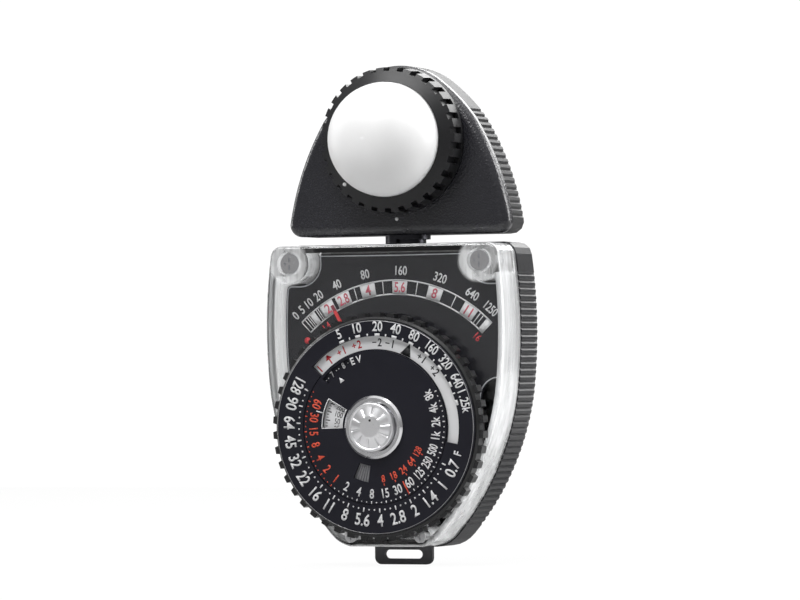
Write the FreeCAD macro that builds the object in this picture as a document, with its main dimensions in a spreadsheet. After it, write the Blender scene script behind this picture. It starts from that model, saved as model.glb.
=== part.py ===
import FreeCAD, Part
import math
import os
import Sketcher
from FreeCAD import Vector

# Handheld light meter, millimetres. +Z runs up the meter, the dial faces -Y, +X is to the right of someone
# reading it. The origin lies under the middle of the meter, level with the tip of the strap lug.
# Y levels are counted from the flat back towards the reader, Z levels up from the strap lug.

doc = FreeCAD.newDocument("LightMeter")
sheet = doc.addObject("Spreadsheet::Sheet", "Sizes")

SIZES = [
    # case
    ("back_y", 16.3, "back of the case, from the origin"),
    ("neck_back_gap", 1.0, "swivel bush, clear of the back wall"),
    ("cover_depth", 10.5, "depth of the clear front cover"),
    ("case_wall", 1.8, "side walls and back of the rear case"),
    ("cover_wall", 2.0, "walls and front of the clear cover"),
    ("case_half", 29.1, "half width of the case at its widest"),
    ("case_top_z", 72.0, "top of the case"),
    ("case_bottom_z", 4.0, "bottom of the case"),
    ("wide_z", 51.0, "height of the widest point"),
    ("top_inset", 1.1, "case half width lost at the top"),
    ("case_corner", 3.0, "radius of the top corners"),
    ("cheek_z", 38.0, "height where the sides turn in"),
    ("cheek_inset", 0.9, "case half width lost at the cheek"),
    ("flank_z", 23.0, "height of the middle of the lower flank"),
    ("flank_inset", 5.2, "case half width lost there"),
    ("foot_z", 6.6, "height where the flank meets the bottom corner"),
    ("foot_inset", 15.7, "case half width lost there"),
    ("base_inset", 20.4, "case half width lost at the flat bottom"),
    ("back_edge", 1.8, "rounding of the back edges"),
    ("cover_edge", 0.9, "rounding of the cover's front edge"),
    ("rib_pitch", 1.5, "spacing of the grip ribs"),
    ("rib_depth", 0.35, "depth of the grooves between ribs"),
    ("rib_top_drop", 6.0, "smooth stretch under the top of the case"),
    ("rib_low_rise", 4.0, "smooth stretch above the bottom of the case"),
    # corner screws
    ("post_inset_x", 6.1, "corner screw, from the widest half width"),
    ("post_drop", 4.3, "corner screw, below the top"),
    ("cover_post_r", 4.4, "clear post round each corner screw"),
    ("case_post_r", 3.0, "post under each corner screw"),
    ("well_r", 2.7, "well round each corner screw head"),
    ("well_depth", 1.9, "depth of that well"),
    ("screw_head_r", 2.25, "corner screw head"),
    ("screw_head_t", 1.1, "thickness of that head"),
    ("screw_r", 1.0, "corner screw shank"),
    ("screw_bite", 7.0, "length of the corner screw in the rear post"),
    ("cross_arm", 0.62, "reach of a screw's cross recess, as a share of its head's radius"),
    ("cross_web", 0.15, "half width of that recess, as a share of the same"),
    ("cross_deep", 0.5, "depth of that recess, as a share of the head's height"),
    ("foot_screw_x", 8.4, "lower screws, from the middle"),
    ("foot_screw_rise", 2.6, "lower screws, above the bottom of the case"),
    ("foot_screw_r", 0.9, "lower screw shank"),
    ("foot_head_r", 1.3, "lower screw head"),
    # strap lug
    ("lug_half", 7.0, "half width of the strap lug"),
    ("lug_t", 1.0, "thickness of the lug plate"),
    ("lug_rise", 4.6, "lug plate inside the case, above the case bottom"),
    ("lug_inner_half", 10.4, "half width of the lug plate inside the case"),
    ("slot_half", 4.6, "half width of the strap slot"),
    ("slot_height", 2.0, "height of the strap slot"),
    ("slot_rim", 1.3, "lug left below the slot"),
    # scale plate
    ("plate_t", 0.8, "scale plate"),
    ("plate_setback", 5.4, "scale plate, behind the cover's inner face"),
    ("plate_gap", 0.4, "scale plate, clear of the cover's walls"),
    ("plate_low_z", 41.5, "lower corners of the scale plate"),
    ("plate_tongue", 20.8, "half width of its lower tongue"),
    ("plate_bend", 4.1, "bend between its lower edge and its tongue"),
    ("plate_corner", 1.2, "its outer corners"),
    ("plate_margin", 3.0, "scale plate, beyond its lower screw"),
    ("plate_post_x", 15.8, "plate screws, from the middle"),
    ("plate_post_up", 11.5, "upper plate screws, above the dial axis"),
    ("plate_post_down", 16.5, "lower plate screw, below the dial axis"),
    ("plate_post_r", 1.9, "posts under the scale plate"),
    ("plate_screw_r", 0.7, "plate screw shank"),
    # neck
    ("neck_gap_y", 0.1, "swivel bush, clear of the cover"),
    ("neck_gap", 1.9, "space between case and head"),
    ("neck_r", 3.5, "neck tube in its bush"),
    ("neck_bore", 2.2, "bore of the neck"),
    ("collar_out", 1.6, "collar between case and head, beyond the neck tube"),
    ("spigot_in", 0.5, "neck above the collar, inside the neck tube's radius"),
    ("neck_drop", 14.0, "neck below the top of the case"),
    ("bush_wall", 0.8, "swivel bush below the case top, beyond the neck tube"),
    ("bush_spigot", 0.6, "swivel bush through the case top, beyond the neck tube"),
    ("bush_length", 3.6, "bush below the case top's inner face"),
    ("stop_pin_r", 0.35, "swivel stop pin"),
    ("stop_pin_out", 1.1, "stop pin, neck clip and washer, beyond the neck tube"),
    ("running_fit", 0.05, "radial clearance of turning fits"),
    ("swivel_left", 90.0, "head swivel to one side, degrees"),
    ("swivel_right", 180.0, "head swivel to the other side, degrees"),
    # head
    ("head_front_y", 2.8, "front face of the head"),
    ("head_front_t", 3.0, "depth of the head's front shell"),
    ("head_back_y", 14.0, "back of the head"),
    ("head_wall", 1.5, "walls of the head"),
    ("head_foot_out", 4.0, "half width of the head low down, beyond its waist"),
    ("head_waist_up", 17.1, "middle of the head's sides, above its bottom"),
    ("head_waist_out", 8.9, "half width of the head's waist, beyond the cell frame"),
    ("head_shoulder_drop", 12.0, "shoulder of the head, below its top"),
    ("head_shoulder_out", 4.3, "half width of the shoulder, beyond the cell frame"),
    ("head_bulge", 0.35, "bow of the head between shoulder and crown"),
    ("head_crown_half", 9.2, "half width where the crown arc begins"),
    ("head_crown_drop", 2.9, "height lost there"),
    ("head_corner", 2.8, "lower corners of the head"),
    ("head_edge", 2.0, "rounding of the front shell's edge"),
    ("dome_rise", 21.2, "diffuser axis, above the head's bottom"),
    ("crown_wall", 2.9, "top of the head, above the cell frame"),
    ("head_screw_x", 19.4, "lower head screws, from the middle"),
    ("head_screw_up", 7.2, "lower head screws, above the head's bottom"),
    ("head_screw_out", 3.1, "upper head screws, beyond the cell frame's flange"),
    ("head_screw_up2", 17.6, "upper head screws, above the head's bottom"),
    ("head_boss_r", 1.7, "bosses of the head screws"),
    ("head_screw_r", 0.7, "head screw shank"),
    # diffuser and cell
    ("dome_r", 12.8, "outside of the diffuser dome"),
    ("dome_t", 1.0, "wall of the dome"),
    ("dome_stand", 6.3, "dome's rim plane, in front of the head"),
    ("dome_skirt", 1.2, "straight skirt of the dome"),
    ("dome_flange_t", 0.8, "flange of the dome"),
    ("dome_flange_gap", 0.05, "dome flange, inside the ring's bore"),
    ("ring_front_wall", 2.1, "front edge of the diffuser ring, beyond its bore"),
    ("ring_base_wall", 2.4, "base of the diffuser ring, beyond its bore"),
    ("ring_slope", 1.35, "fall of the ring's front face"),
    ("ring_lift", 0.25, "diffuser ring, clear of the head"),
    ("ring_gap", 0.1, "bore of the diffuser ring, clear of the cell frame"),
    ("ring_slots", 30.0, "grip slots round the diffuser ring"),
    ("slot_width", 1.45, "width of a grip slot"),
    ("slot_deep", 1.15, "depth of a grip slot"),
    ("slot_skin", 1.0, "ring left behind a grip slot, at its base"),
    ("frame_r", 14.0, "outside of the cell frame"),
    ("frame_wall", 1.5, "wall of the cell frame"),
    ("frame_stand", 2.3, "cell frame, in front of the head"),
    ("frame_flange_out", 1.1, "flange of the cell frame inside the head"),
    ("frame_flange_t", 1.0, "thickness of that flange"),
    ("frame_lip", 0.9, "lip that holds the filter"),
    ("filter_t", 1.0, "filter glass"),
    ("contact_t", 0.3, "front contact ring"),
    ("cell_t", 1.0, "photocell"),
    ("cell_gap", 0.1, "filter and cell, clear of the frame"),
    ("retainer_t", 0.8, "cell retainer"),
    ("bayonet_height", 0.6, "bayonet lugs along the axis"),
    ("bayonet_reach", 0.6, "bayonet lugs, inward"),
    ("bayonet_half_deg", 6.0, "half width of a bayonet lug, degrees"),
    ("bayonet_turn", 45.0, "turn of the bayonet, degrees"),
    ("bayonet_gap", 0.1, "clearance round the bayonet lugs"),
    # dial
    ("dial_z", 31.0, "dial and needle axis"),
    ("disc_front", 5.3, "dial face, in front of the cover"),
    ("disc_r", 23.73, "outer scale disc"),
    ("disc_t", 1.0, "thickness of the outer scale disc"),
    ("window_out", 20.2, "outer edge of the band window"),
    ("window_from", 312.0, "start of the band window, degrees clockwise from the top"),
    ("window_span", 149.0, "length of the band window, degrees"),
    ("inner_r", 17.1, "speed scale disc"),
    ("inner_t", 0.55, "thickness of the speed scale disc"),
    ("disc_gap", 0.1, "clearance between the discs"),
    ("step_r", 17.3, "step of the outer disc round the inner one"),
    ("light_value_r", 14.3, "inside of the outer disc's step"),
    ("film_r", 21.4, "film speed disc"),
    ("film_t", 0.4, "thickness of the film speed disc"),
    ("film_mid", 284.6, "film speed window, degrees clockwise from the top"),
    ("film_half", 15.0, "half width of that window, degrees"),
    ("film_in", 7.9, "inner edge of that window"),
    ("film_out", 12.6, "outer edge of that window"),
    ("thumb_mid", 196.0, "thumb window, degrees clockwise from the top"),
    ("thumb_half", 9.0, "half width of that window, degrees"),
    ("thumb_in", 8.6, "inner edge of the thumb window"),
    ("thumb_out", 12.3, "outer edge of the thumb window"),
    ("thumb_h", 0.45, "height of the thumb ribs"),
    ("film_turn", 32.0, "film speed setting to each side, degrees"),
    ("value_from", 311.0, "start of the light value window, degrees"),
    ("value_span", 26.5, "length of that window, degrees"),
    ("value_in", 14.7, "inner edge of that window"),
    ("value_out", 16.5, "outer edge of that window"),
    ("grip_r", 25.4, "tips of the serrated ring"),
    ("grip_t", 0.9, "height of its teeth"),
    ("grip_depth", 3.4, "serrated ring, front to back"),
    ("grip_wall", 2.7, "wall of the serrated ring"),
    ("grip_teeth", 46.0, "teeth round the serrated ring"),
    ("web_t", 0.8, "web of the serrated ring"),
    ("web_setback", 0.8, "web, behind the ring's front"),
    ("hub_r", 4.5, "dial hub"),
    ("hub_flange_r", 6.9, "front flange of the hub"),
    ("hub_neck_r", 3.6, "hub through the cover"),
    ("hub_well_r", 3.3, "spring well in the hub"),
    ("hub_well_depth", 3.0, "depth of the spring well"),
    ("nut_r", 5.6, "hub nut, across its corners"),
    ("nut_t", 0.6, "hub nut"),
    ("washer_t", 0.5, "dial spring washer"),
    ("washer_r", 7.5, "dial spring washer, outside"),
    ("spacer_r", 9.0, "hub spacer"),
    # stop button
    ("bezel_r", 7.0, "chrome ring round the button"),
    ("bezel_t", 1.0, "chrome ring, proud of the dial"),
    ("bezel_well_r", 5.75, "well in the chrome ring"),
    ("bezel_seat_r", 6.1, "chrome ring inside the dial's bore"),
    ("bezel_floor", 0.35, "floor of the chrome ring"),
    ("bezel_skirt_r", 2.9, "bore of the chrome ring's skirt"),
    ("button_r", 5.5, "stop button"),
    ("button_t", 1.75, "thickness of the stop button"),
    ("button_top_r", 2.5, "flat top of the stop button"),
    ("button_bevel", 0.55, "fall of the button's facets"),
    ("button_facets", 10.0, "facets round the stop button"),
    ("button_travel", 1.2, "travel of the stop button"),
    ("rod_r", 1.45, "stop rod"),
    ("rod_in_button", 0.9, "stop rod, inside the button"),
    ("rod_gap", 0.62, "free play between rod and brake lever"),
    ("spring_wire_r", 0.2, "wire of the button spring"),
    ("spring_r", 2.2, "button spring, to the middle of its wire"),
    ("spring_turns", 5.0, "turns of the button spring"),
    # movement
    ("core_r", 5.0, "magnet core"),
    ("core_t", 5.0, "length of the magnet core"),
    ("yoke_in", 6.8, "bore of the yoke ring"),
    ("yoke_out", 9.5, "outside of the yoke ring"),
    ("yoke_t", 6.8, "length of the yoke ring"),
    ("frame_t", 1.4, "movement frame plate"),
    ("frame_ring_r", 10.4, "round part of the movement frame"),
    ("frame_arm", 17.0, "half length of the movement frame"),
    ("frame_arm_h", 3.6, "half height of its arms"),
    ("frame_screw_x", 14.4, "movement screws, from the axis"),
    ("frame_gap", 0.4, "movement frame, in front of the case back"),
    ("standoff", 1.3, "yoke, in front of the movement frame"),
    ("coil_in", 5.3, "inside of the coil's long sides"),
    ("coil_out", 6.3, "outside of the coil's long sides"),
    ("coil_half", 1.3, "half width of the coil"),
    ("coil_bar", 0.6, "coil, across the ends of the core"),
    ("coil_gap", 0.4, "coil, clear of the ends of the core"),
    ("staff_r", 0.4, "pivot staff"),
    ("hair_t", 0.12, "hairspring ribbon"),
    ("hair_pitch", 0.54, "one turn of a hairspring to the next"),
    ("hair_gap", 0.03, "hairspring clear of the pivot staff"),
    ("jewel_r", 1.1, "jewel bearing"),
    ("needle_y_back", 1.1, "back of the needle, in front of the scale plate"),
    ("needle_t", 0.3, "thickness of the needle"),
    ("needle_length", 31.0, "needle, from its axis"),
    ("needle_tail", 6.0, "tail of the needle"),
    ("needle_half", 0.35, "half width of the needle at its tip"),
    ("needle_rest", -28.4, "needle at rest, degrees clockwise from the top"),
    ("bridge_t", 0.7, "front bridge"),
    ("bridge_gap", 0.6, "front bridge, in front of the needle"),
    ("bridge_half", 12.0, "half length of the front bridge"),
    ("bridge_h", 2.2, "half height of the front bridge"),
    ("pillar_x", 11.0, "pillars of the front bridge, from the axis"),
    ("pillar_r", 1.0, "pillars of the front bridge"),
    # needle brake
    ("lever_t", 0.35, "brake lever"),
    ("lever_half", 2.3, "half width of the brake lever"),
    ("lever_up", 6.5, "brake pivot, above the needle axis"),
    ("lever_low", 2.5, "brake lever, below the needle axis"),
    ("lever_pin_r", 0.4, "brake pivot pin"),
    ("lever_gap", 0.3, "brake lever, behind the hub nut"),
    ("pad_r", 11.4, "brake pad, from the needle axis"),
    ("pad_w", 1.0, "width of the brake pad"),
    ("pad_half_deg", 48.0, "half length of the brake pad, degrees"),
    ("pad_t", 0.25, "felt of the brake pad"),
    ("ear_in", 3.1, "brake ears, inner faces"),
    ("ear_t", 0.6, "brake ears"),
    # zero adjustment
    ("zero_down", 13.0, "zero screw, below the needle axis"),
    ("zero_r", 2.2, "zero screw head"),
    ("zero_pin_out", 1.0, "eccentric pin of the zero screw"),
    ("zero_pin_r", 0.35, "eccentric pin"),
    ("zero_slot_gap", 0.14, "slot in the zero lever, clear of the pin"),
    ("zero_lever_t", 0.4, "zero lever"),
    ("zero_lever_gap", 0.3, "zero lever, in front of the movement frame"),
    # circuit
    ("board_z", 49.5, "middle of the circuit board"),
    ("board_half_x", 15.0, "half width of the circuit board"),
    ("board_half_z", 4.5, "half height of the circuit board"),
    ("board_t", 1.0, "circuit board"),
    ("board_stand", 1.0, "circuit board, in front of the case back"),
    ("slip_t", 1.2, "slip ring height"),
    ("slip_wall", 0.35, "slip ring wall"),
    ("brush_t", 0.3, "contact brush"),
    ("brush_half", 0.7, "half width of a contact brush"),
]
for row, (alias, value, note) in enumerate(SIZES, 1):
    sheet.set(f"A{row}", note)
    sheet.set(f"B{row}", str(value))
    sheet.setAlias(f"B{row}", alias)
doc.recompute()

# levels worked out from the sheet, as expressions
S = "Sizes."
BUSH_R = f"({S}neck_r + {S}bush_wall)"
REAR_DEPTH = f"({S}neck_gap_y + 2 * {BUSH_R} + {S}neck_back_gap + {S}case_wall)"
SPLIT_Y = f"({S}back_y - {REAR_DEPTH})"
COVER_Y = f"({SPLIT_Y} - {S}cover_depth)"
COVER_IN_Y = f"({COVER_Y} + {S}cover_wall)"
BACK_IN_Y = f"({S}back_y - {S}case_wall)"
POST_X = f"({S}case_half - {S}post_inset_x)"
POST_Z = f"({S}case_top_z - {S}post_drop)"
FOOT_Z = f"({S}case_bottom_z + {S}foot_screw_rise)"
PLATE_Y = f"({COVER_IN_Y} + {S}plate_setback)"
PLATE_BACK_Y = f"({PLATE_Y} + {S}plate_t)"
TOP_IN_Z = f"({S}case_top_z - {S}case_wall)"
BUSH_SPIGOT_R = f"({S}neck_r + {S}bush_spigot)"
COLLAR_R = f"({S}neck_r + {S}collar_out)"
SPIGOT_R = f"({S}neck_r - {S}spigot_in)"
CLIP_R = f"({S}neck_r + {S}stop_pin_out)"
NECK_Y = f"({SPLIT_Y} + {BUSH_R} + {S}neck_gap_y)"
HEAD_Z = f"({S}case_top_z + {S}neck_gap)"
DOME_Z = f"({HEAD_Z} + {S}dome_rise)"
CROWN_Z = f"({DOME_Z} + {S}frame_r + {S}crown_wall)"
WAIST_HALF = f"({S}frame_r + {S}head_waist_out)"
HEAD_HALF = f"({WAIST_HALF} + {S}head_foot_out)"
SHOULDER_HALF = f"({S}frame_r + {S}head_shoulder_out)"
SHOULDER_Z = f"({CROWN_Z} - {S}head_shoulder_drop)"
HEAD_SEAM_Y = f"({S}head_front_y + {S}head_front_t)"
HEAD_IN_Y = f"({S}head_front_y + {S}head_wall)"
HEAD_BACK_IN_Y = f"({S}head_back_y - {S}head_wall)"
FRAME_FLANGE_R = f"({S}frame_r + {S}frame_flange_out)"
HEAD_SCREW_X2 = f"({FRAME_FLANGE_R} + {S}head_screw_out)"
RING_IN_R = f"({S}frame_r + {S}ring_gap)"
RING_FRONT_R = f"({RING_IN_R} + {S}ring_front_wall)"
RING_BASE_R = f"({RING_IN_R} + {S}ring_base_wall)"
DOME_FLANGE_R = f"({RING_IN_R} - {S}dome_flange_gap)"
RIM_Y = f"({S}head_front_y - {S}dome_stand)"
FLANGE_Y = f"({RIM_Y} + {S}dome_skirt)"
RING_BASE_Y = f"({S}head_front_y - {S}ring_lift)"
FRAME_Y = f"({S}head_front_y - {S}frame_stand)"
FILTER_Y = f"({FRAME_Y} + {S}frame_lip)"
CONTACT_Y = f"({FILTER_Y} + {S}filter_t)"
CELL_Y = f"({CONTACT_Y} + {S}contact_t)"
CELL_BACK_Y = f"({CELL_Y} + {S}cell_t)"
FRAME_BACK_Y = f"({HEAD_IN_Y} + {S}frame_flange_t)"
FACE_Y = f"({COVER_Y} - {S}disc_front)"
DISC_BACK_Y = f"({FACE_Y} + {S}disc_t)"
INNER_BACK_Y = f"({FACE_Y} + {S}inner_t)"
STEP_Y = f"({INNER_BACK_Y} + {S}disc_gap)"
FILM_Y = f"({DISC_BACK_Y} + {S}disc_gap)"
WEB_Y = f"({DISC_BACK_Y} + {S}web_setback)"
WEB_BACK_Y = f"({WEB_Y} + {S}web_t)"
SPACER_Y = f"({WEB_BACK_Y} + {S}washer_t)"
NUT_BACK_Y = f"({COVER_IN_Y} + {S}nut_t)"
HUB_WELL_Y = f"({INNER_BACK_Y} + {S}hub_well_depth)"
BEZEL_Y = f"({FACE_Y} - {S}bezel_t)"
BUTTON_BACK_Y = f"({BEZEL_Y} - {S}disc_gap / 2)"
BUTTON_Y = f"({BUTTON_BACK_Y} - {S}button_t)"
LEVER_Y = f"({NUT_BACK_Y} + {S}lever_gap)"
LEVER_BACK_Y = f"({LEVER_Y} + {S}lever_t)"
ROD_END_Y = f"({LEVER_Y} - {S}rod_gap)"
NEEDLE_BACK_Y = f"({PLATE_Y} - {S}needle_y_back)"
NEEDLE_Y = f"({NEEDLE_BACK_Y} - {S}needle_t)"
BRIDGE_BACK_Y = f"({NEEDLE_Y} - {S}bridge_gap)"
BRIDGE_Y = f"({BRIDGE_BACK_Y} - {S}bridge_t)"
MOVE_BACK_Y = f"({BACK_IN_Y} - {S}frame_gap)"
MOVE_Y = f"({MOVE_BACK_Y} - {S}frame_t)"
YOKE_BACK_Y = f"({MOVE_Y} - {S}standoff)"
YOKE_Y = f"({YOKE_BACK_Y} - {S}yoke_t)"
ZERO_LEVER_BACK_Y = f"({MOVE_Y} - {S}zero_lever_gap)"
ZERO_LEVER_Y = f"({ZERO_LEVER_BACK_Y} - {S}zero_lever_t)"
CORE_BACK_Y = f"({YOKE_BACK_Y} - ({S}yoke_t - {S}core_t) / 2)"
CORE_Y = f"({CORE_BACK_Y} - {S}core_t)"
COIL_Y = f"({CORE_Y} - {S}coil_gap - {S}coil_bar)"
COIL_BACK_Y = f"({CORE_BACK_Y} + {S}coil_gap + {S}coil_bar)"
PIVOT_Z = f"({S}dial_z + {S}lever_up)"
PIVOT_Y = f"({LEVER_BACK_Y} + {S}lever_pin_r + {S}running_fit)"
ZERO_Z = f"({S}dial_z - {S}zero_down)"
BOARD_BACK_Y = f"({BACK_IN_Y} - {S}board_stand)"
BOARD_Y = f"({BOARD_BACK_Y} - {S}board_t)"
NECK_LOW_Z = f"({S}case_top_z - {S}neck_drop)"
BUSH_LOW_Z = f"({TOP_IN_Z} - {S}bush_length)"
PLATE_POST_UP_Z = f"({S}dial_z + {S}plate_post_up)"
PLATE_POST_LOW_Z = f"({S}dial_z - {S}plate_post_down)"
SLOT_TOP_Z = f"({S}slot_rim + {S}slot_height)"

made = []
FLAT = 1e-4


def value(expression):
    """The number that an expression of the sheet gives now."""
    if not isinstance(expression, str):
        return float(expression)
    result = sheet.evalExpression(expression)
    return float(getattr(result, "Value", result))


def place(obj, x, y, z):
    """Bind an object's position to the sheet."""
    for axis, expression in zip("xyz", (x, y, z)):
        obj.setExpression(f"Placement.Base.{axis}", str(expression))


def finish(obj, label):
    """Name a finished sub-part and put it on the list to be written."""
    obj.Label = label
    made.append(obj)
    return obj


# ---- solids bound to the sheet ----

ALONG_Y = FreeCAD.Rotation(Vector(1, 0, 0), -90)
ALONG_X = FreeCAD.Rotation(Vector(0, 1, 0), 90)


def cylinder(radius, length, x, y, z, turn=ALONG_Y):
    """A round bar that starts at a point and runs to +Y, or along the turned axis."""
    obj = doc.addObject("Part::Cylinder", "Round")
    obj.Placement = FreeCAD.Placement(Vector(), turn)
    obj.setExpression("Radius", str(radius))
    obj.setExpression("Height", str(length))
    place(obj, x, y, z)
    return obj


def block(x0, x1, y0, y1, z0, z1):
    """A box between two values on each axis."""
    obj = doc.addObject("Part::Box", "Block")
    obj.setExpression("Length", f"{x1} - ({x0})")
    obj.setExpression("Width", f"{y1} - ({y0})")
    obj.setExpression("Height", f"{z1} - ({z0})")
    place(obj, x0, y0, z0)
    return obj


def fuse(parts):
    obj = doc.addObject("Part::MultiFuse", "Joined")
    obj.Shapes = parts
    return obj


def cut(base, tool):
    obj = doc.addObject("Part::Cut", "Cut")
    obj.Base = base
    obj.Tool = tool
    return obj


def group(parts):
    """Separate solids of one kind that share a node."""
    obj = doc.addObject("Part::Compound", "Group")
    obj.Links = parts
    return obj


def origin_plane(body, role):
    return next(f for f in body.Origin.OriginFeatures if f.Role == role)


def sketch_outline(sketch, points):
    """A closed outline whose every corner is bound to two expressions."""
    now = [Vector(value(a), value(b), 0) for a, b in points]
    count = len(points)
    for i in range(count):
        sketch.addGeometry(Part.LineSegment(now[i], now[(i + 1) % count]), False)
    for i in range(count):
        sketch.addConstraint(Sketcher.Constraint("Coincident", i, 2, (i + 1) % count, 1))
    for i, (a, b) in enumerate(points):
        for kind, expression, number in (("DistanceX", a, now[i].x), ("DistanceY", b, now[i].y)):
            index = sketch.addConstraint(Sketcher.Constraint(kind, i, 1, number))
            sketch.setExpression(f"Constraints[{index}]", str(expression))


def turned(label, profile, x=0, y=0, z=0, plane="XY_Plane"):
    """A turned piece from (radius, level) corners, about its own Y axis, or Z with the XZ plane."""
    body = doc.addObject("PartDesign::Body", label + "_body")
    sketch = body.newObject("Sketcher::SketchObject", label + "_profile")
    sketch.AttachmentSupport = [(origin_plane(body, plane), "")]
    sketch.MapMode = "FlatFace"
    sketch_outline(sketch, profile)
    doc.recompute()
    spin = body.newObject("PartDesign::Revolution", label + "_turned")
    spin.Profile = sketch
    spin.ReferenceAxis = (sketch, ["V_Axis"])
    spin.Angle = 360
    body.Tip = spin
    place(body, x, y, z)
    return body


def around_dial(profile_label, profile):
    return turned(profile_label, profile, z=S + "dial_z")


def around_dome(profile_label, profile):
    return turned(profile_label, profile, z=DOME_Z)


def stepped(outer, inner):
    """The profile of a piece from its outer and inner (radius, from, to) steps, front to back."""
    points = []
    for radius, start, end in outer:
        points += [(radius, start), (radius, end)]
    for radius, start, end in reversed(inner):
        points += [(radius, end), (radius, start)]
    return points


# ---- shapes that neither primitives nor sketches give: outlines of arcs, sectors, ribs ----

def feature(label, shape, base=Vector()):
    obj = doc.addObject("Part::Feature", label + "_shape")
    obj.Shape = shape
    obj.Placement = FreeCAD.Placement(base, FreeCAD.Rotation()).multiply(shape.Placement)
    return obj


def arc(a, b, c):
    return Part.Arc(Vector(a[0], 0, a[1]), Vector(b[0], 0, b[1]), Vector(c[0], 0, c[1])).toShape()


def line(a, b):
    return Part.LineSegment(Vector(a[0], 0, a[1]), Vector(b[0], 0, b[1])).toShape()


def mirrored_wire(edges):
    """A closed outline from the edges of its right half, top to bottom."""
    half = Part.Wire(edges)
    other = half.mirror(Vector(), Vector(1, 0, 0))
    return Part.Wire(Part.__sortEdges__(half.Edges + other.Edges))


def slab(wire, y0, y1):
    """The outline's solid between two Y levels."""
    base = wire.copy()
    base.translate(Vector(0, y0, 0))
    return Part.Face(base).extrude(Vector(0, y1 - y0, 0))


def inset(wire, distance):
    """An outline a constant distance inside another."""
    return wire.makeOffset2D(-distance, 0, False, False, False) if distance > 0 else wire


def rod(x, z, radius, y0, y1):
    return Part.makeCylinder(radius, y1 - y0, Vector(x, y0, z), Vector(0, 1, 0))


def wedge(inner, outer, start, span, y0, y1):
    """A sector about the Y axis through the origin; degrees run clockwise from the top, seen from the front."""
    corners = [Vector(0, y, r) for r, y in ((inner, y0), (outer, y0), (outer, y1), (inner, y1), (inner, y0))]
    sector = Part.Face(Part.makePolygon(corners)).revolve(Vector(), Vector(0, 1, 0), span)
    sector.rotate(Vector(), Vector(0, 1, 0), start)
    return sector


def case_edges():
    """Right half of the case outline: flat top, bowed side, lower flank and flat bottom."""
    half = value(S + "case_half")
    top = value(S + "case_top_z")
    corner = value(S + "case_corner")
    upper = half - value(S + "top_inset")
    cheek = (half - value(S + "cheek_inset"), value(S + "cheek_z"))
    flank = (half - value(S + "flank_inset"), value(S + "flank_z"))
    foot = (half - value(S + "foot_inset"), value(S + "foot_z"))
    base = (half - value(S + "base_inset"), value(S + "case_bottom_z"))
    bend = corner * (1 - math.sqrt(0.5))
    middle = ((foot[0] + base[0]) / 2 + 0.3, (foot[1] + base[1]) / 2 - 0.35)
    return [line((0, top), (upper - corner, top)),
            arc((upper - corner, top), (upper - bend, top - bend), (upper, top - corner)),
            arc((upper, top - corner), (half, value(S + "wide_z")), cheek),
            arc(cheek, flank, foot),
            arc(foot, middle, base),
            line(base, (0, base[1]))]


def head_edges():
    """Right half of the head outline: crown, shoulder, bowed side, rounded lower corner."""
    low = value(HEAD_Z)
    top = value(CROWN_Z)
    half = value(HEAD_HALF)
    corner = value(S + "head_corner")
    shoulder = (value(SHOULDER_HALF), value(SHOULDER_Z))
    crown = (value(S + "head_crown_half"), top - value(S + "head_crown_drop"))
    bulge = value(S + "head_bulge")
    between = ((shoulder[0] + crown[0]) / 2 + bulge, (shoulder[1] + crown[1]) / 2 + bulge)
    waist = (value(WAIST_HALF), low + value(S + "head_waist_up"))
    bend = corner * (1 - math.sqrt(0.5))
    rise = top - crown[1]
    crown_radius = (crown[0] ** 2 + rise ** 2) / (2 * rise)
    crown_mid = crown[0] / 2
    return [arc((0, top), (crown_mid, top - crown_radius + math.sqrt(crown_radius ** 2 - crown_mid ** 2)), crown),
            arc(crown, between, shoulder),
            arc(shoulder, waist, (half, low + corner)),
            arc((half, low + corner), (half - bend, low + bend), (half - corner, low)),
            line((half - corner, low), (0, low))]


def ribbed_edges(edges, low, high):
    """The same half outline with V grooves cut across its sides between two heights."""
    pitch = value(S + "rib_pitch")
    depth = value(S + "rib_depth")
    groove = 0.3 * pitch
    corners = []
    for edge in edges:
        steps = max(2, round(edge.Length / (pitch / 2)))
        first, last = edge.FirstParameter, edge.LastParameter
        for i in range(steps):
            point = edge.valueAt(first + (last - first) * i / steps)
            corners.append((point.x, point.z))
    corners.append((edges[-1].valueAt(edges[-1].LastParameter).x, edges[-1].valueAt(edges[-1].LastParameter).z))
    path = Part.makePolygon([Vector(x, 0, z) for x, z in corners])
    count = int(path.Length / pitch)
    spots = path.discretize(Number=count * 4 + 1)
    out = [corners[0]]
    for i in range(2, len(spots) - 2, 4):
        here = spots[i]
        along = spots[i + 1] - spots[i - 1]
        along.normalize()
        inward = Vector(along.z, 0, -along.x)
        if inward.x > 0:
            inward = inward * -1
        if low < here.z < high and abs(here.x) > pitch:
            for point in (here - along * groove, here + inward * depth, here + along * groove):
                out.append((point.x, point.z))
        else:
            out.append((here.x, here.z))
    out.append(corners[-1])
    return [line(a, b) for a, b in zip(out, out[1:]) if math.dist(a, b) > 0.01]


# ---- rear case, cover and strap lug ----

def screw_places():
    return [(side * value(POST_X), value(POST_Z)) for side in (-1, 1)]


def foot_places():
    return [(side * value(S + "foot_screw_x"), value(FOOT_Z)) for side in (-1, 1)]


def plate_places():
    up = [(side * value(S + "plate_post_x"), value(PLATE_POST_UP_Z)) for side in (-1, 1)]
    return up + [(0, value(PLATE_POST_LOW_Z))]


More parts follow.
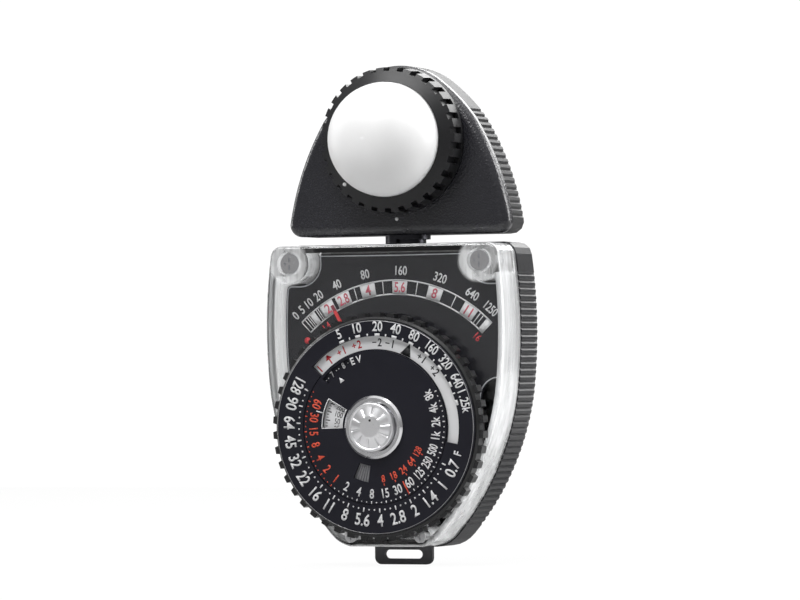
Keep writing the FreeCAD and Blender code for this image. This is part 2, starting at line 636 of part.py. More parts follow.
def shell_back(edges, rib_low, rib_high, wall, y0, y1, edge_radius):
    """A shell open to the front, with ribbed sides and a smooth, rounded back."""
    smooth = mirrored_wire(edges)
    depth = value(S + "rib_depth")
    cap = inset(smooth, depth)
    rib_end = y1 - edge_radius - 0.3
    outer = slab(cap, y0, y1)
    back_edges = [e for e in outer.Edges if abs(e.BoundBox.YMin - y1) < FLAT and abs(e.BoundBox.YMax - y1) < FLAT]
    outer = outer.makeFillet(edge_radius, back_edges)
    ribs = slab(mirrored_wire(ribbed_edges(edges, rib_low, rib_high)), y0, rib_end)
    outer = outer.fuse(ribs)
    return outer.cut(slab(inset(smooth, wall), y0, y1 - wall))


def build_rear_case():
    y0, y1 = value(SPLIT_Y), value(S + "back_y")
    top, low = value(S + "case_top_z"), value(S + "case_bottom_z")
    wall = value(S + "case_wall")
    inner = value(BACK_IN_Y)
    shell = shell_back(case_edges(), low + value(S + "rib_low_rise"), top - value(S + "rib_top_drop"),
                       wall, y0, y1, value(S + "back_edge"))
    inside = slab(inset(mirrored_wire(case_edges()), value(S + "rib_depth") + 0.2), y0, y1 - 0.5)
    posts = [rod(x, z, value(S + "case_post_r"), y0, y1 - 0.5) for x, z in screw_places()]
    lug_back = y0 + value(S + "lug_t")
    posts += [rod(x, z, 2.0, lug_back, y1 - 0.5) for x, z in foot_places()]
    posts += [rod(x, z, value(S + "plate_post_r"), value(PLATE_BACK_Y), y1 - 0.5) for x, z in plate_places()]
    pads = [(side * value(S + "frame_screw_x"), value(S + "dial_z")) for side in (-1, 1)]
    posts += [rod(x, z, 2.4, value(MOVE_BACK_Y), y1 - 0.5) for x, z in pads]
    board_x = value(S + "board_half_x") - 2.0
    board_pads = [(side * board_x, value(S + "board_z")) for side in (-1, 1)]
    posts += [rod(x, z, 1.8, value(BOARD_BACK_Y), y1 - 0.5) for x, z in board_pads]
    front_posts = [p for p in posts if p.BoundBox.YMin < y0]
    posts = [p.common(inside) if p not in front_posts else p for p in posts]
    shell = shell.multiFuse(posts)
    holes = [rod(x, z, value(S + "screw_r"), y0, y0 + value(S + "screw_bite")) for x, z in screw_places()]
    holes += [rod(x, z, value(S + "foot_screw_r"), y0, y0 + 6.0) for x, z in foot_places()]
    holes += [rod(x, z, value(S + "plate_screw_r"), value(PLATE_BACK_Y), value(PLATE_BACK_Y) + 4.0)
              for x, z in plate_places()]
    holes += [rod(x, z, 0.9, value(MOVE_BACK_Y), value(MOVE_BACK_Y) + 1.3) for x, z in pads]
    holes += [rod(x, z, 0.7, value(BOARD_BACK_Y), value(BOARD_BACK_Y) + 1.6) for x, z in board_pads]
    holes.append(rod(0, value(ZERO_Z), value(S + "zero_r") + value(S + "running_fit"), inner - 0.6, y1))
    neck = Vector(0, value(NECK_Y), top - wall - 0.5)
    holes.append(Part.makeCylinder(value(BUSH_SPIGOT_R), wall + 1, neck, Vector(0, 0, 1)))
    pin = Vector(0, value(NECK_Y) + value(CLIP_R), top - 1.4)
    holes.append(Part.makeCylinder(value(S + "stop_pin_r"), 2, pin, Vector(0, 0, 1)))
    lug = value(S + "lug_half")
    holes.append(Part.makeBox(2 * lug, value(S + "lug_t"), wall + 2, Vector(-lug, y0, low - 1)))
    wide = value(S + "lug_inner_half")
    holes.append(Part.makeBox(2 * wide, value(S + "lug_t"), value(S + "lug_rise"), Vector(-wide, y0, low + 1.0)))
    return shell.cut(Part.Compound(holes))


def cover_wires():
    """The cover's outer outline and its window's outline."""
    outer = inset(mirrored_wire(case_edges()), value(S + "rib_depth"))
    return outer, inset(mirrored_wire(case_edges()), value(S + "cover_wall"))


def build_front_cover():
    y0, y1 = value(COVER_Y), value(SPLIT_Y)
    outer, window = cover_wires()
    shell = slab(outer, y0, y1)
    rim = [e for e in shell.Edges if abs(e.BoundBox.YMin - y0) < FLAT and abs(e.BoundBox.YMax - y0) < FLAT]
    shell = shell.makeFillet(value(S + "cover_edge"), rim)
    posts = [rod(x, z, value(S + "cover_post_r"), y0 + 0.5, y1) for x, z in screw_places()]
    posts += [rod(x, z, 2.0, y0 + 0.5, y1) for x, z in foot_places()]
    core = slab(inset(outer, 0.2), y0 + 0.5, y1)
    solid_posts = [p.common(core) for p in posts]
    shell = shell.cut(slab(window, value(COVER_IN_Y), y1)).multiFuse(solid_posts)
    holes = [rod(x, z, value(S + "well_r"), y0 - 1, y0 + value(S + "well_depth")) for x, z in screw_places()]
    holes += [rod(x, z, value(S + "screw_r"), y0, y1) for x, z in screw_places()]
    holes += [rod(x, z, value(S + "foot_head_r") + 0.05, y0 - 1, y0 + 1.0) for x, z in foot_places()]
    holes += [rod(x, z, value(S + "foot_screw_r"), y0, y1) for x, z in foot_places()]
    holes.append(rod(0, value(S + "dial_z"), value(S + "hub_neck_r"), y0 - 1, y0 + value(S + "cover_wall") + 1))
    return shell.cut(Part.Compound(holes))


def build_scale_plate():
    """Flat plate behind the window, notched round the corner posts, with a tongue round the movement."""
    y0, y1 = value(PLATE_Y), value(PLATE_BACK_Y)
    clear = value(S + "cover_wall") + value(S + "plate_gap")
    plate = slab(inset(mirrored_wire(case_edges()), clear), y0, y1)
    wide = 2 * value(S + "case_half")
    low = value(S + "plate_low_z")
    bottom = value(PLATE_POST_LOW_Z) - value(S + "plate_margin")
    tongue = value(S + "plate_tongue")
    upper = Part.makeBox(wide, y1 - y0, 60, Vector(-wide / 2, y0, low))
    lower = Part.makeBox(2 * tongue, y1 - y0, low - bottom + 1, Vector(-tongue, y0, bottom))
    wanted = upper.fuse(lower).removeSplitter()
    bends = [e for e in wanted.Edges if e.BoundBox.ZLength < FLAT and abs(e.Vertexes[0].Z - low) < FLAT
             and abs(abs(e.Vertexes[0].X) - tongue) < FLAT and e.BoundBox.XLength < FLAT]
    plate = plate.common(wanted.makeFillet(value(S + "plate_bend"), bends))
    clear_r = value(S + "cover_post_r") + value(S + "plate_gap")
    cuts = [rod(x, z, clear_r, y0, y1) for x, z in screw_places()]
    for side in (-1, 1):
        x, z = side * value(POST_X), value(POST_Z)
        low_x = min(x, x + side * 20)
        cuts.append(Part.makeBox(20, y1 - y0, 20, Vector(low_x, y0, z - clear_r)))
        cuts.append(Part.makeBox(20 + clear_r, y1 - y0, 20,
                                 Vector(min(x - side * clear_r, x + side * 20), y0, z)))
    cuts.append(rod(0, value(S + "dial_z"), value(S + "bridge_half") + 0.5, y0, y1))
    cuts += [rod(x, z, value(S + "plate_screw_r"), y0, y1) for x, z in plate_places()]
    plate = plate.cut(Part.Compound(cuts))
    upright = [e for e in plate.Edges
               if abs(e.BoundBox.YLength - (y1 - y0)) < FLAT and e.BoundBox.XLength < FLAT
               and e.BoundBox.ZLength < FLAT and low - 0.5 < e.Vertexes[0].Z < value(POST_Z)
               and abs(e.Vertexes[0].X) > tongue + value(S + "plate_bend") + 1]
    return plate.makeFillet(value(S + "plate_corner"), upright)


finish(feature("rear_case", build_rear_case()), "rear_case")
finish(feature("front_cover", build_front_cover()), "front_cover")
finish(feature("scale_plate", build_scale_plate()), "scale_plate")


def screw(x, z, head_y, head_r, head_t, shank_r, length):
    """A cross-recessed screw along Y, its head starting at head_y."""
    head = cylinder(head_r, head_t, x, head_y, z)
    shank = cylinder(shank_r, length, x, f"{head_y} + {head_t} - 0.01", z)
    body = fuse([head, shank])
    arm, web = f"{head_r} * {S}cross_arm", f"{head_r} * {S}cross_web"
    front, floor = f"{head_y} - 1", f"{head_y} + {head_t} * {S}cross_deep"
    arms = [block(f"{x} - {a}", f"{x} + {a}", front, floor, f"{z} - {b}", f"{z} + {b}")
            for a, b in ((arm, web), (web, arm))]
    return cut(body, fuse(arms))


def build_cover_screws():
    head_y = f"({COVER_Y} + {S}well_depth - {S}screw_head_t)"
    length = f"({S}cover_depth - {S}well_depth + {S}screw_bite)"
    screws = []
    for side in ("-1", "1"):
        screws.append(screw(f"{side} * {POST_X}", POST_Z, head_y, S + "screw_head_r", S + "screw_head_t",
                            S + "screw_r", length))
    return group(screws)


def build_foot_screws():
    head_y = f"({COVER_Y} + 0.1)"
    length = f"({S}cover_depth + 4.5)"
    screws = []
    for side in ("-1", "1"):
        screws.append(screw(f"{side} * {S}foot_screw_x", FOOT_Z, head_y, S + "foot_head_r", "0.9",
                            S + "foot_screw_r", length))
    return group(screws)


def build_strap_lug():
    """Flat T of sheet steel: the slotted tongue hangs below the case, the arms lie inside it."""
    y1 = f"({SPLIT_Y} + {S}lug_t)"
    tongue = block(f"-{S}lug_half", S + "lug_half", SPLIT_Y, y1, "0", f"{S}case_bottom_z + 1.2")
    arms = block(f"-{S}lug_inner_half", S + "lug_inner_half", SPLIT_Y, y1,
                 f"{S}case_bottom_z + 1.0", f"{S}case_bottom_z + {S}lug_rise")
    plate = fuse([tongue, arms])
    corners = doc.addObject("Part::Fillet", "LugCorners")
    corners.Base = plate
    doc.recompute()
    edges = []
    for number, edge in enumerate(plate.Shape.Edges, 1):
        box = edge.BoundBox
        if box.YLength > 0.5 * value(S + "lug_t") and box.XLength < FLAT and box.ZMax < 0.1:
            edges.append((number, 1.6, 1.6))
    corners.Edges = edges
    middle = f"({S}slot_rim + {S}slot_height / 2)"
    ends = f"({S}slot_half - {S}slot_height / 2)"
    slot = [block(f"-{ends}", ends, f"{SPLIT_Y} - 1", f"{y1} + 1", S + "slot_rim", SLOT_TOP_Z)]
    for side in ("-", ""):
        slot.append(cylinder(f"{S}slot_height / 2", f"{S}lug_t + 2", f"{side}{ends}", f"{SPLIT_Y} - 1", middle))
    for side in ("-", ""):
        slot.append(cylinder(S + "foot_screw_r", f"{S}lug_t + 2", f"{side}{S}foot_screw_x",
                             f"{SPLIT_Y} - 1", FOOT_Z))
    return cut(corners, fuse(slot))


finish(build_cover_screws(), "cover_screws")
finish(build_foot_screws(), "foot_screws")
finish(build_strap_lug(), "strap_lug")

# ---- swivel neck ----

UP = FreeCAD.Rotation()


def neck_profile():
    collar_low = f"({S}case_top_z + 0.1)"
    return [(S + "neck_bore", NECK_LOW_Z), (S + "neck_r", NECK_LOW_Z), (S + "neck_r", collar_low),
            (COLLAR_R, collar_low), (COLLAR_R, HEAD_Z), (SPIGOT_R, HEAD_Z),
            (SPIGOT_R, f"{HEAD_Z} + 4.0"), (S + "neck_bore", f"{HEAD_Z} + 4.0")]


def build_neck():
    """Hollow neck with a collar; an arc groove under the collar takes the stop pin."""
    neck = turned("neck", neck_profile(), y=NECK_Y, plane="XZ_Plane")
    doc.recompute()
    low = value(S + "case_top_z")
    middle = value(CLIP_R)
    half = value(S + "stop_pin_r") + 0.15
    margin = 2 + math.degrees(half / middle)
    start = -value(S + "swivel_left") - margin
    end = value(S + "swivel_right") + margin
    ring = Part.makeCylinder(middle + half, 1.0, Vector(), Vector(0, 0, 1), end - start)
    ring = ring.cut(Part.makeCylinder(middle - half, 1.0))
    ring.rotate(Vector(), Vector(0, 0, 1), start)
    groove = feature("neck_groove", ring, Vector(0, value(NECK_Y), low))
    return cut(neck, groove)


def neck_ring(label, outer, inner, low, high):
    return turned(label, [(inner, low), (outer, low), (outer, high), (inner, high)],
                  y=NECK_Y, plane="XZ_Plane")


def build_neck_bush():
    inner = f"({S}neck_r + {S}running_fit)"
    return turned("neck_bush", [(inner, BUSH_LOW_Z), (BUSH_R, BUSH_LOW_Z), (BUSH_R, TOP_IN_Z),
                                (BUSH_SPIGOT_R, TOP_IN_Z), (BUSH_SPIGOT_R, S + "case_top_z"),
                                (inner, S + "case_top_z")], y=NECK_Y, plane="XZ_Plane")


def build_neck_plate():
    """Plate pressed on the neck's spigot and screwed to the head's floor."""
    low = f"({HEAD_Z} + {S}head_wall)"
    half = f"({SPIGOT_R} + 0.15)"
    plate = block("-7.6", "7.6", f"{NECK_Y} - {half}", f"{NECK_Y} + {half}", low, f"{low} + 1.4")
    holes = [cylinder(SPIGOT_R, "3", "0", NECK_Y, f"{low} - 1", UP)]
    holes += [cylinder("0.8", "3", x, NECK_Y, f"{low} - 1", UP) for x in ("-5.6", "5.6")]
    return cut(plate, fuse(holes))


def build_neck_screws():
    seat = f"({HEAD_Z} + {S}head_wall + 1.4)"
    screws = []
    for x in ("-5.6", "5.6"):
        head = cylinder("1.5", "0.9", x, NECK_Y, seat, UP)
        shank = cylinder("0.8", f"{S}head_wall + 1.0", x, NECK_Y, f"{HEAD_Z} + 0.4", UP)
        screws.append(fuse([head, shank]))
    return group(screws)


finish(build_neck(), "swivel_neck")
finish(build_neck_bush(), "neck_bush")
finish(neck_ring("neck_washer", CLIP_R, f"{S}neck_r + {S}running_fit", f"{BUSH_LOW_Z} - 0.35", f"{BUSH_LOW_Z} - 0.05"),
       "neck_washer")
finish(neck_ring("neck_clip", CLIP_R, S + "neck_r", f"{BUSH_LOW_Z} - 1.05", f"{BUSH_LOW_Z} - 0.4"), "neck_clip")
finish(cylinder(S + "stop_pin_r", "2.2", "0", f"{NECK_Y} + {CLIP_R}", f"{S}case_top_z - 1.4", UP),
       "swivel_stop_pin")
finish(build_neck_plate(), "neck_plate")
finish(build_neck_screws(), "neck_screws")


def slip_level(rise):
    return f"({NECK_LOW_Z} + {rise})"


slip_out = f"({S}neck_r + {S}slip_wall)"
lower_ring = neck_ring("slip_low", slip_out, S + "neck_r", slip_level("0.6"), slip_level(f"0.6 + {S}slip_t"))
upper_ring = neck_ring("slip_high", slip_out, S + "neck_r", slip_level("3.2"), slip_level(f"3.2 + {S}slip_t"))
finish(group([lower_ring, upper_ring]), "slip_rings")

# ---- head ----


HEAD_SCREWS = [(S + "head_screw_x", S + "head_screw_up"), (HEAD_SCREW_X2, S + "head_screw_up2")]


def head_screw_places():
    low = value(HEAD_Z)
    return [(side * value(x), low + value(up)) for x, up in HEAD_SCREWS for side in (-1, 1)]


def build_head_front():
    y0, y1 = value(S + "head_front_y"), value(HEAD_SEAM_Y)
    wire = mirrored_wire(head_edges())
    shell = slab(wire, y0, y1)
    rim = [e for e in shell.Edges if abs(e.BoundBox.YMin - y0) < FLAT and abs(e.BoundBox.YMax - y0) < FLAT]
    shell = shell.makeFillet(value(S + "head_edge"), rim)
    wall = value(S + "head_wall")
    shell = shell.cut(slab(inset(wire, wall), value(HEAD_IN_Y), y1))
    inside = slab(inset(wire, 0.6), y0 + 1.0, y1)
    bosses = [rod(x, z, value(S + "head_boss_r"), y0 + 1.0, y1).common(inside) for x, z in head_screw_places()]
    shell = shell.multiFuse(bosses)
    holes = [rod(0, value(DOME_Z), value(S + "frame_r"), y0 - 1, y1)]
    holes += [rod(x, z, value(S + "head_screw_r"), y1 - 1.8, y1) for x, z in head_screw_places()]
    return shell.cut(Part.Compound(holes))


def build_head_rear():
    y0, y1 = value(HEAD_SEAM_Y), value(S + "head_back_y")
    wall = value(S + "head_wall")
    low = value(HEAD_Z)
    shell = shell_back(head_edges(), low + 4.0, value(SHOULDER_Z) + 2.0, wall, y0, y1, 1.3)
    inside = slab(inset(mirrored_wire(head_edges()), value(S + "rib_depth") + 0.2), y0, y1 - 0.5)
    bosses = [rod(x, z, value(S + "head_boss_r"), y0, y1 - 0.5).common(inside) for x, z in head_screw_places()]
    shell = shell.multiFuse(bosses)
    holes = [rod(x, z, value(S + "head_screw_r"), y0, y1) for x, z in head_screw_places()]
    holes += [rod(x, z, 1.35, y1 - 1.0, y1 + 1) for x, z in head_screw_places()]
    neck = Vector(0, value(NECK_Y), low - 1)
    holes.append(Part.makeCylinder(value(SPIGOT_R), wall + 2, neck, Vector(0, 0, 1)))
    for x in (-5.6, 5.6):
        spot = Vector(x, value(NECK_Y), low + 0.4)
        holes.append(Part.makeCylinder(0.8, wall, spot, Vector(0, 0, 1)))
    return shell.cut(Part.Compound(holes))


def build_head_screws():
    screws = []
    length = f"({S}head_back_y - 1.0 - {HEAD_SEAM_Y} + 1.6)"
    seat = f"({S}head_back_y - 1.0)"
    for out, up in HEAD_SCREWS:
        for side in ("-1", "1"):
            x = f"{side} * {out}"
            z = f"{HEAD_Z} + {up}"
            head = cylinder("1.3", "0.8", x, seat, z)
            shank = cylinder(S + "head_screw_r", length, x, f"{seat} - {length} + 0.01", z)
            slot = block(f"{x} - 2", f"{x} + 2", f"{seat} + 0.5", f"{seat} + 2", f"{z} - 0.2", f"{z} + 0.2")
            screws.append(cut(fuse([head, shank]), slot))
    return group(screws)


finish(feature("head_front_shell", build_head_front()), "head_front_shell")
finish(feature("head_rear_shell", build_head_rear()), "head_rear_shell")
finish(build_head_screws(), "head_screws")

# ---- cell frame and cell ----

FRAME_IN = f"({S}frame_r - {S}frame_wall)"
CELL_R = f"({FRAME_IN} - {S}cell_gap)"
LUG_Y = f"({RING_BASE_Y} - {S}bayonet_height - 0.1)"


def cell_frame_profile():
    lip = f"({FRAME_IN} - 0.9)"
    return [(lip, FRAME_Y), (S + "frame_r", FRAME_Y), (S + "frame_r", HEAD_IN_Y),
            (FRAME_FLANGE_R, HEAD_IN_Y), (FRAME_FLANGE_R, FRAME_BACK_Y), (FRAME_IN, FRAME_BACK_Y),
            (FRAME_IN, FILTER_Y), (lip, FILTER_Y)]


def build_cell_frame():
    """Round frame for the cell, with three bayonet grooves round its outside."""
    frame = around_dome("cell_frame", cell_frame_profile())
    gap = value(S + "bayonet_gap")
    floor_r = value(S + "frame_r") - value(S + "bayonet_reach") - gap
    half = value(S + "bayonet_half_deg") + 2
    turn = value(S + "bayonet_turn")
    y0 = value(LUG_Y) - gap
    y1 = y0 + value(S + "bayonet_height") + 2 * gap
    outer = value(S + "frame_r") + 1
    cuts = []
    for third in (0, 120, 240):
        cuts.append(wedge(floor_r, outer, third - half - turn, turn + 2 * half, y0, y1))
        cuts.append(wedge(floor_r, outer, third - half - turn, 2 * half, value(FRAME_Y) - 1, y1))
    return cut(frame, feature("grooves", Part.Compound(cuts), Vector(0, 0, value(DOME_Z))))


def cell_disc(label, y0, y1, outer=CELL_R, inner=None):
    """A flat disc or ring on the cell's axis."""
    if inner is None:
        return finish(cylinder(outer, f"{y1} - {y0}", "0", y0, DOME_Z), label)
    return finish(around_dome(label, [(inner, y0), (outer, y0), (outer, y1), (inner, y1)]), label)


finish(build_cell_frame(), "cell_frame")
cell_disc("filter_glass", FILTER_Y, CONTACT_Y)
cell_disc("photocell", CELL_Y, CELL_BACK_Y)
cell_disc("cell_retainer", FRAME_BACK_Y, f"({FRAME_BACK_Y} + {S}retainer_t)", FRAME_FLANGE_R, "3.4")


def build_cell_contacts():
    """A flat ring on the cell's face and a dished spring on its back."""
    ring_in = f"({CELL_R} - 1.4)"
    ring = around_dome("front_contact", [(ring_in, CONTACT_Y), (CELL_R, CONTACT_Y), (CELL_R, CELL_Y),
                                         (ring_in, CELL_Y)])
    spring = around_dome("back_contact", [
        ("9.6", CELL_BACK_Y), ("10", CELL_BACK_Y), ("10", f"{CELL_BACK_Y} + 0.3"), ("5.4", FRAME_BACK_Y),
        ("5", FRAME_BACK_Y), ("5", f"({FRAME_BACK_Y} - 0.3)")])
    return group([ring, spring])


finish(build_cell_contacts(), "cell_contacts")


def build_cell_leads():
    """Two insulated wires from the cell's contacts down through the neck."""
    leads = []
    top = value(DOME_Z) - 2.0
    back = value(FRAME_BACK_Y) + value(S + "retainer_t")
    neck = value(NECK_Y)
    bend = min(1.5, neck - back - 0.1)
    for x in (-1.1, 1.1):
        start = Vector(x, back - 0.6, top)
        corner_in = Vector(x, neck - bend, top)
        corner_out = Vector(x, neck, top - bend)
        mid = Vector(x, neck - bend * (1 - math.sqrt(0.5)), top - bend * (1 - math.sqrt(0.5)))
        end = Vector(x, neck, value(NECK_LOW_Z) + 1.0)
        path = Part.Wire([Part.LineSegment(start, corner_in).toShape(),
                          Part.Arc(corner_in, mid, corner_out).toShape(),
                          Part.LineSegment(corner_out, end).toShape()])
        section = Part.Wire([Part.makeCircle(0.4, start, Vector(0, 1, 0))])
        leads.append(path.makePipeShell([section], True, False))
    return Part.Compound(leads)


finish(feature("cell_leads", build_cell_leads()), "cell_leads")

# ---- diffuser ----


def build_dome():
    """Hemisphere on a short skirt, with a flange the ring grips."""
    outer, wall = value(S + "dome_r"), value(S + "dome_t")
    rim, flange_y = value(RIM_Y), value(FLANGE_Y)
    flange_back = flange_y + value(S + "dome_flange_t")
    inner = outer - wall
    side = math.sqrt(0.5)
    flange = value(DOME_FLANGE_R)

    def at(radius, y):
        return Vector(radius, y, 0)

    edges = [Part.Arc(at(0, rim - outer), at(outer * side, rim - outer * side), at(outer, rim)).toShape(),
             Part.LineSegment(at(outer, rim), at(outer, flange_y)).toShape(),
             Part.LineSegment(at(outer, flange_y), at(flange, flange_y)).toShape(),
             Part.LineSegment(at(flange, flange_y), at(flange, flange_back)).toShape(),
             Part.LineSegment(at(flange, flange_back), at(inner, flange_back)).toShape(),
             Part.LineSegment(at(inner, flange_back), at(inner, rim)).toShape(),
             Part.Arc(at(inner, rim), at(inner * side, rim - inner * side), at(0, rim - inner)).toShape(),
             Part.LineSegment(at(0, rim - inner), at(0, rim - outer)).toShape()]
    return Part.Face(Part.Wire(edges)).revolve(Vector(), Vector(0, 1, 0), 360)


def pattern(body, sketch, feature_obj, label, count):
    """Repeat a feature evenly round the sketch's normal."""
    polar = body.newObject("PartDesign::PolarPattern", label)
    polar.Originals = [feature_obj]
    polar.Axis = (sketch, ["N_Axis"])
    polar.Angle = 360
    polar.setExpression("Occurrences", count)
    body.Tip = polar
    return polar


def build_diffuser_ring():
    """Ring that holds the dome, slotted for the fingers, with three bayonet lugs inside."""
    lip_r = f"({S}dome_r + 0.1)"
    front_y = f"({RIM_Y} + 0.1)"
    profile = [(lip_r, front_y), (RING_FRONT_R, f"{front_y} + {S}ring_slope"),
               (RING_BASE_R, RING_BASE_Y), (RING_IN_R, RING_BASE_Y),
               (RING_IN_R, FLANGE_Y), (lip_r, FLANGE_Y)]
    body = around_dome("diffuser_ring", profile)
    sketch = body.newObject("Sketcher::SketchObject", "ring_slot")
    sketch.AttachmentSupport = [(origin_plane(body, "XZ_Plane"), "")]
    sketch.MapMode = "FlatFace"
    half = f"({S}slot_width / 2)"
    low = f"({RING_BASE_R} - {S}slot_deep)"
    high = f"({RING_BASE_R} + 1)"
    sketch_outline(sketch, [(f"-{half}", low), (half, low), (half, high), (f"-{half}", high)])
    sketch.setExpression("AttachmentOffset.Base.z", f"-({RING_BASE_Y} - {S}slot_skin)")
    doc.recompute()
    before = body.Shape.Volume
    pocket = body.newObject("PartDesign::Pocket", "ring_slot_cut")
    pocket.Profile = sketch
    pocket.setExpression("Length", f"{RING_BASE_Y} - ({RIM_Y})")
    pocket.Reversed = True
    body.Tip = pocket
    doc.recompute()
    if not body.Shape.Volume < before - 1:
        pocket.Reversed = False
        doc.recompute()
    pattern(body, sketch, pocket, "ring_slots", S + "ring_slots")
    doc.recompute()
    if not body.Shape.Volume < before - 20:
        raise RuntimeError("the diffuser ring's slots did not cut")
    inner = value(RING_IN_R) - value(S + "bayonet_gap") - value(S + "bayonet_reach")
    lugs = []
    half_deg = value(S + "bayonet_half_deg")
    for third in (0, 120, 240):
        lugs.append(wedge(inner, value(RING_IN_R) + 0.3, third - half_deg, 2 * half_deg,
                          value(LUG_Y), value(LUG_Y) + value(S + "bayonet_height")))
    return fuse([body, feature("ring_lugs", Part.Compound(lugs), Vector(0, 0, value(DOME_Z)))])


finish(feature("diffuser_dome", build_dome(), Vector(0, 0, value(DOME_Z))), "diffuser_dome")
finish(build_diffuser_ring(), "diffuser_ring")

# ---- dial ----

DIAL_BORE = f"({S}hub_r + {S}running_fit)"


def dial_feature(label, shape):
    return feature(label, shape, Vector(0, 0, value(S + "dial_z")))


def build_serrated_ring():
    """Toothed rim with a web that turns on the hub."""
    rim_y = DISC_BACK_Y
    rim_back = f"({rim_y} + {S}grip_depth)"
    root = f"({S}grip_r - {S}grip_t)"
    rim_in = f"({root} - {S}grip_wall)"
    profile = [(DIAL_BORE, WEB_Y), (rim_in, WEB_Y), (rim_in, rim_y), (f"{root} - 0.5", rim_y),
               (root, f"{rim_y} + 0.5"), (root, rim_back), (rim_in, rim_back), (rim_in, WEB_BACK_Y),
               (DIAL_BORE, WEB_BACK_Y)]
    body = around_dial("serrated_ring", profile)
    sketch = body.newObject("Sketcher::SketchObject", "tooth_outline")
    sketch.AttachmentSupport = [(origin_plane(body, "XZ_Plane"), "")]
    sketch.MapMode = "FlatFace"
    wide = f"(2 * 3.14159 * {S}grip_r / {S}grip_teeth * 0.30)"
    narrow = f"({wide} * 0.72)"
    sketch_outline(sketch, [(f"-{wide}", f"{root} - 0.4"), (wide, f"{root} - 0.4"),
                            (narrow, S + "grip_r"), (f"-{narrow}", S + "grip_r")])
    sketch.setExpression("AttachmentOffset.Base.z", f"-({rim_back})")
    doc.recompute()
    before = body.Shape.Volume
    pad = body.newObject("PartDesign::Pad", "tooth")
    pad.Profile = sketch
    pad.setExpression("Length", f"{S}grip_depth - 0.6")
    body.Tip = pad
    doc.recompute()
    pattern(body, sketch, pad, "teeth", S + "grip_teeth")
    doc.recompute()
    if not body.Shape.Volume > before + 10:
        raise RuntimeError("the ring's teeth did not add up")
    return body


def build_outer_disc():
    """Scale disc with a stepped inner edge and the long band window."""
    profile = [(S + "light_value_r", STEP_Y), (S + "step_r", STEP_Y), (S + "step_r", FACE_Y),
               (f"{S}disc_r - 0.3", FACE_Y), (S + "disc_r", f"{FACE_Y} + 0.3"), (S + "disc_r", DISC_BACK_Y),
               (S + "light_value_r", DISC_BACK_Y)]
    disc = around_dial("outer_disc", profile)
    window = wedge(value(S + "step_r"), value(S + "window_out"), value(S + "window_from"),
                   value(S + "window_span"), value(FACE_Y) - 1, value(DISC_BACK_Y) + 1)
    return cut(disc, dial_feature("band_window", window))


def build_speed_disc():
    """Fixed inner disc with its three windows."""
    bore = f"({S}bezel_seat_r + 0.05)"
    disc = around_dial("speed_disc", [(bore, FACE_Y), (S + "inner_r", FACE_Y), (S + "inner_r", INNER_BACK_Y),
                                      (bore, INNER_BACK_Y)])
    y0, y1 = value(FACE_Y) - 1, value(INNER_BACK_Y) + 1
    windows = [wedge(value(S + "film_in"), value(S + "film_out"), value(S + "film_mid") - value(S + "film_half"),
                     2 * value(S + "film_half"), y0, y1),
               wedge(value(S + "thumb_in"), value(S + "thumb_out"),
                     value(S + "thumb_mid") - value(S + "thumb_half"), 2 * value(S + "thumb_half"), y0, y1),
               wedge(value(S + "value_in"), value(S + "value_out"), value(S + "value_from"),
                     value(S + "value_span"), y0, y1)]
    return cut(disc, dial_feature("speed_windows", Part.Compound(windows)))


def build_thumb_ribs():
    """Ribbed arc on the film speed disc, long enough to fill its window over the whole setting."""
    reach = value(S + "thumb_half") + value(S + "film_turn") - 0.5
    mid = value(S + "thumb_mid")
    back = value(FILM_Y)
    top = back - value(S + "thumb_h")
    base = wedge(value(S + "thumb_in") - 0.3, value(S + "thumb_out") + 0.3, mid - reach, 2 * reach,
                 back - 0.2, back)
    ribs = []
    step = 3.0
    for i in range(int(2 * reach / step)):
        ribs.append(wedge(value(S + "thumb_in") - 0.1, value(S + "thumb_out") + 0.1,
                          mid - reach + step * (i + 0.2), step * 0.5, top, back - 0.1))
    return base.multiFuse(ribs)


film_back = f"({FILM_Y} + {S}film_t)"
finish(build_serrated_ring(), "serrated_ring")
finish(build_outer_disc(), "outer_scale_disc")
finish(build_speed_disc(), "speed_scale_disc")
finish(around_dial("film_disc", [(DIAL_BORE, FILM_Y), (S + "film_r", FILM_Y), (S + "film_r", film_back),
                                 (DIAL_BORE, film_back)]), "film_speed_disc")
finish(dial_feature("thumb_ribs", build_thumb_ribs()), "film_thumb_ribs")

# ---- hub, chrome ring and stop button ----

finish(around_dial("dial_hub", stepped(
    [(S + "hub_flange_r", INNER_BACK_Y, DISC_BACK_Y), (S + "hub_r", DISC_BACK_Y, COVER_Y),
     (S + "hub_neck_r", COVER_Y, NUT_BACK_Y)],
    [(S + "hub_well_r", INNER_BACK_Y, HUB_WELL_Y), (f"{S}rod_r + {S}running_fit", HUB_WELL_Y, NUT_BACK_Y)])),
    "dial_hub")
finish(around_dial("hub_spacer", [(S + "hub_r", SPACER_Y), (S + "spacer_r", SPACER_Y),
                                  (S + "spacer_r", COVER_Y), (S + "hub_r", COVER_Y)]), "hub_spacer")
finish(around_dial("dial_washer", [(f"{S}hub_r + 0.1", f"{WEB_BACK_Y} + 0.05"),
                                   (S + "washer_r", f"{WEB_BACK_Y} + 0.2"),
                                   (S + "washer_r", SPACER_Y), (f"{S}hub_r + 0.1", f"{SPACER_Y} - 0.15")]),
       "dial_washer")


def build_hub_nut():
    """Six-sided nut on the hub, inside the cover."""
    nut = doc.addObject("Part::Prism", "NutBlank")
    nut.Polygon = 6
    nut.Placement = FreeCAD.Placement(Vector(), ALONG_Y)
    nut.setExpression("Circumradius", S + "nut_r")
    nut.setExpression("Height", S + "nut_t")
    place(nut, "0", COVER_IN_Y, S + "dial_z")
    return cut(nut, cylinder(S + "hub_neck_r", "3", "0", f"{COVER_IN_Y} - 1", S + "dial_z"))


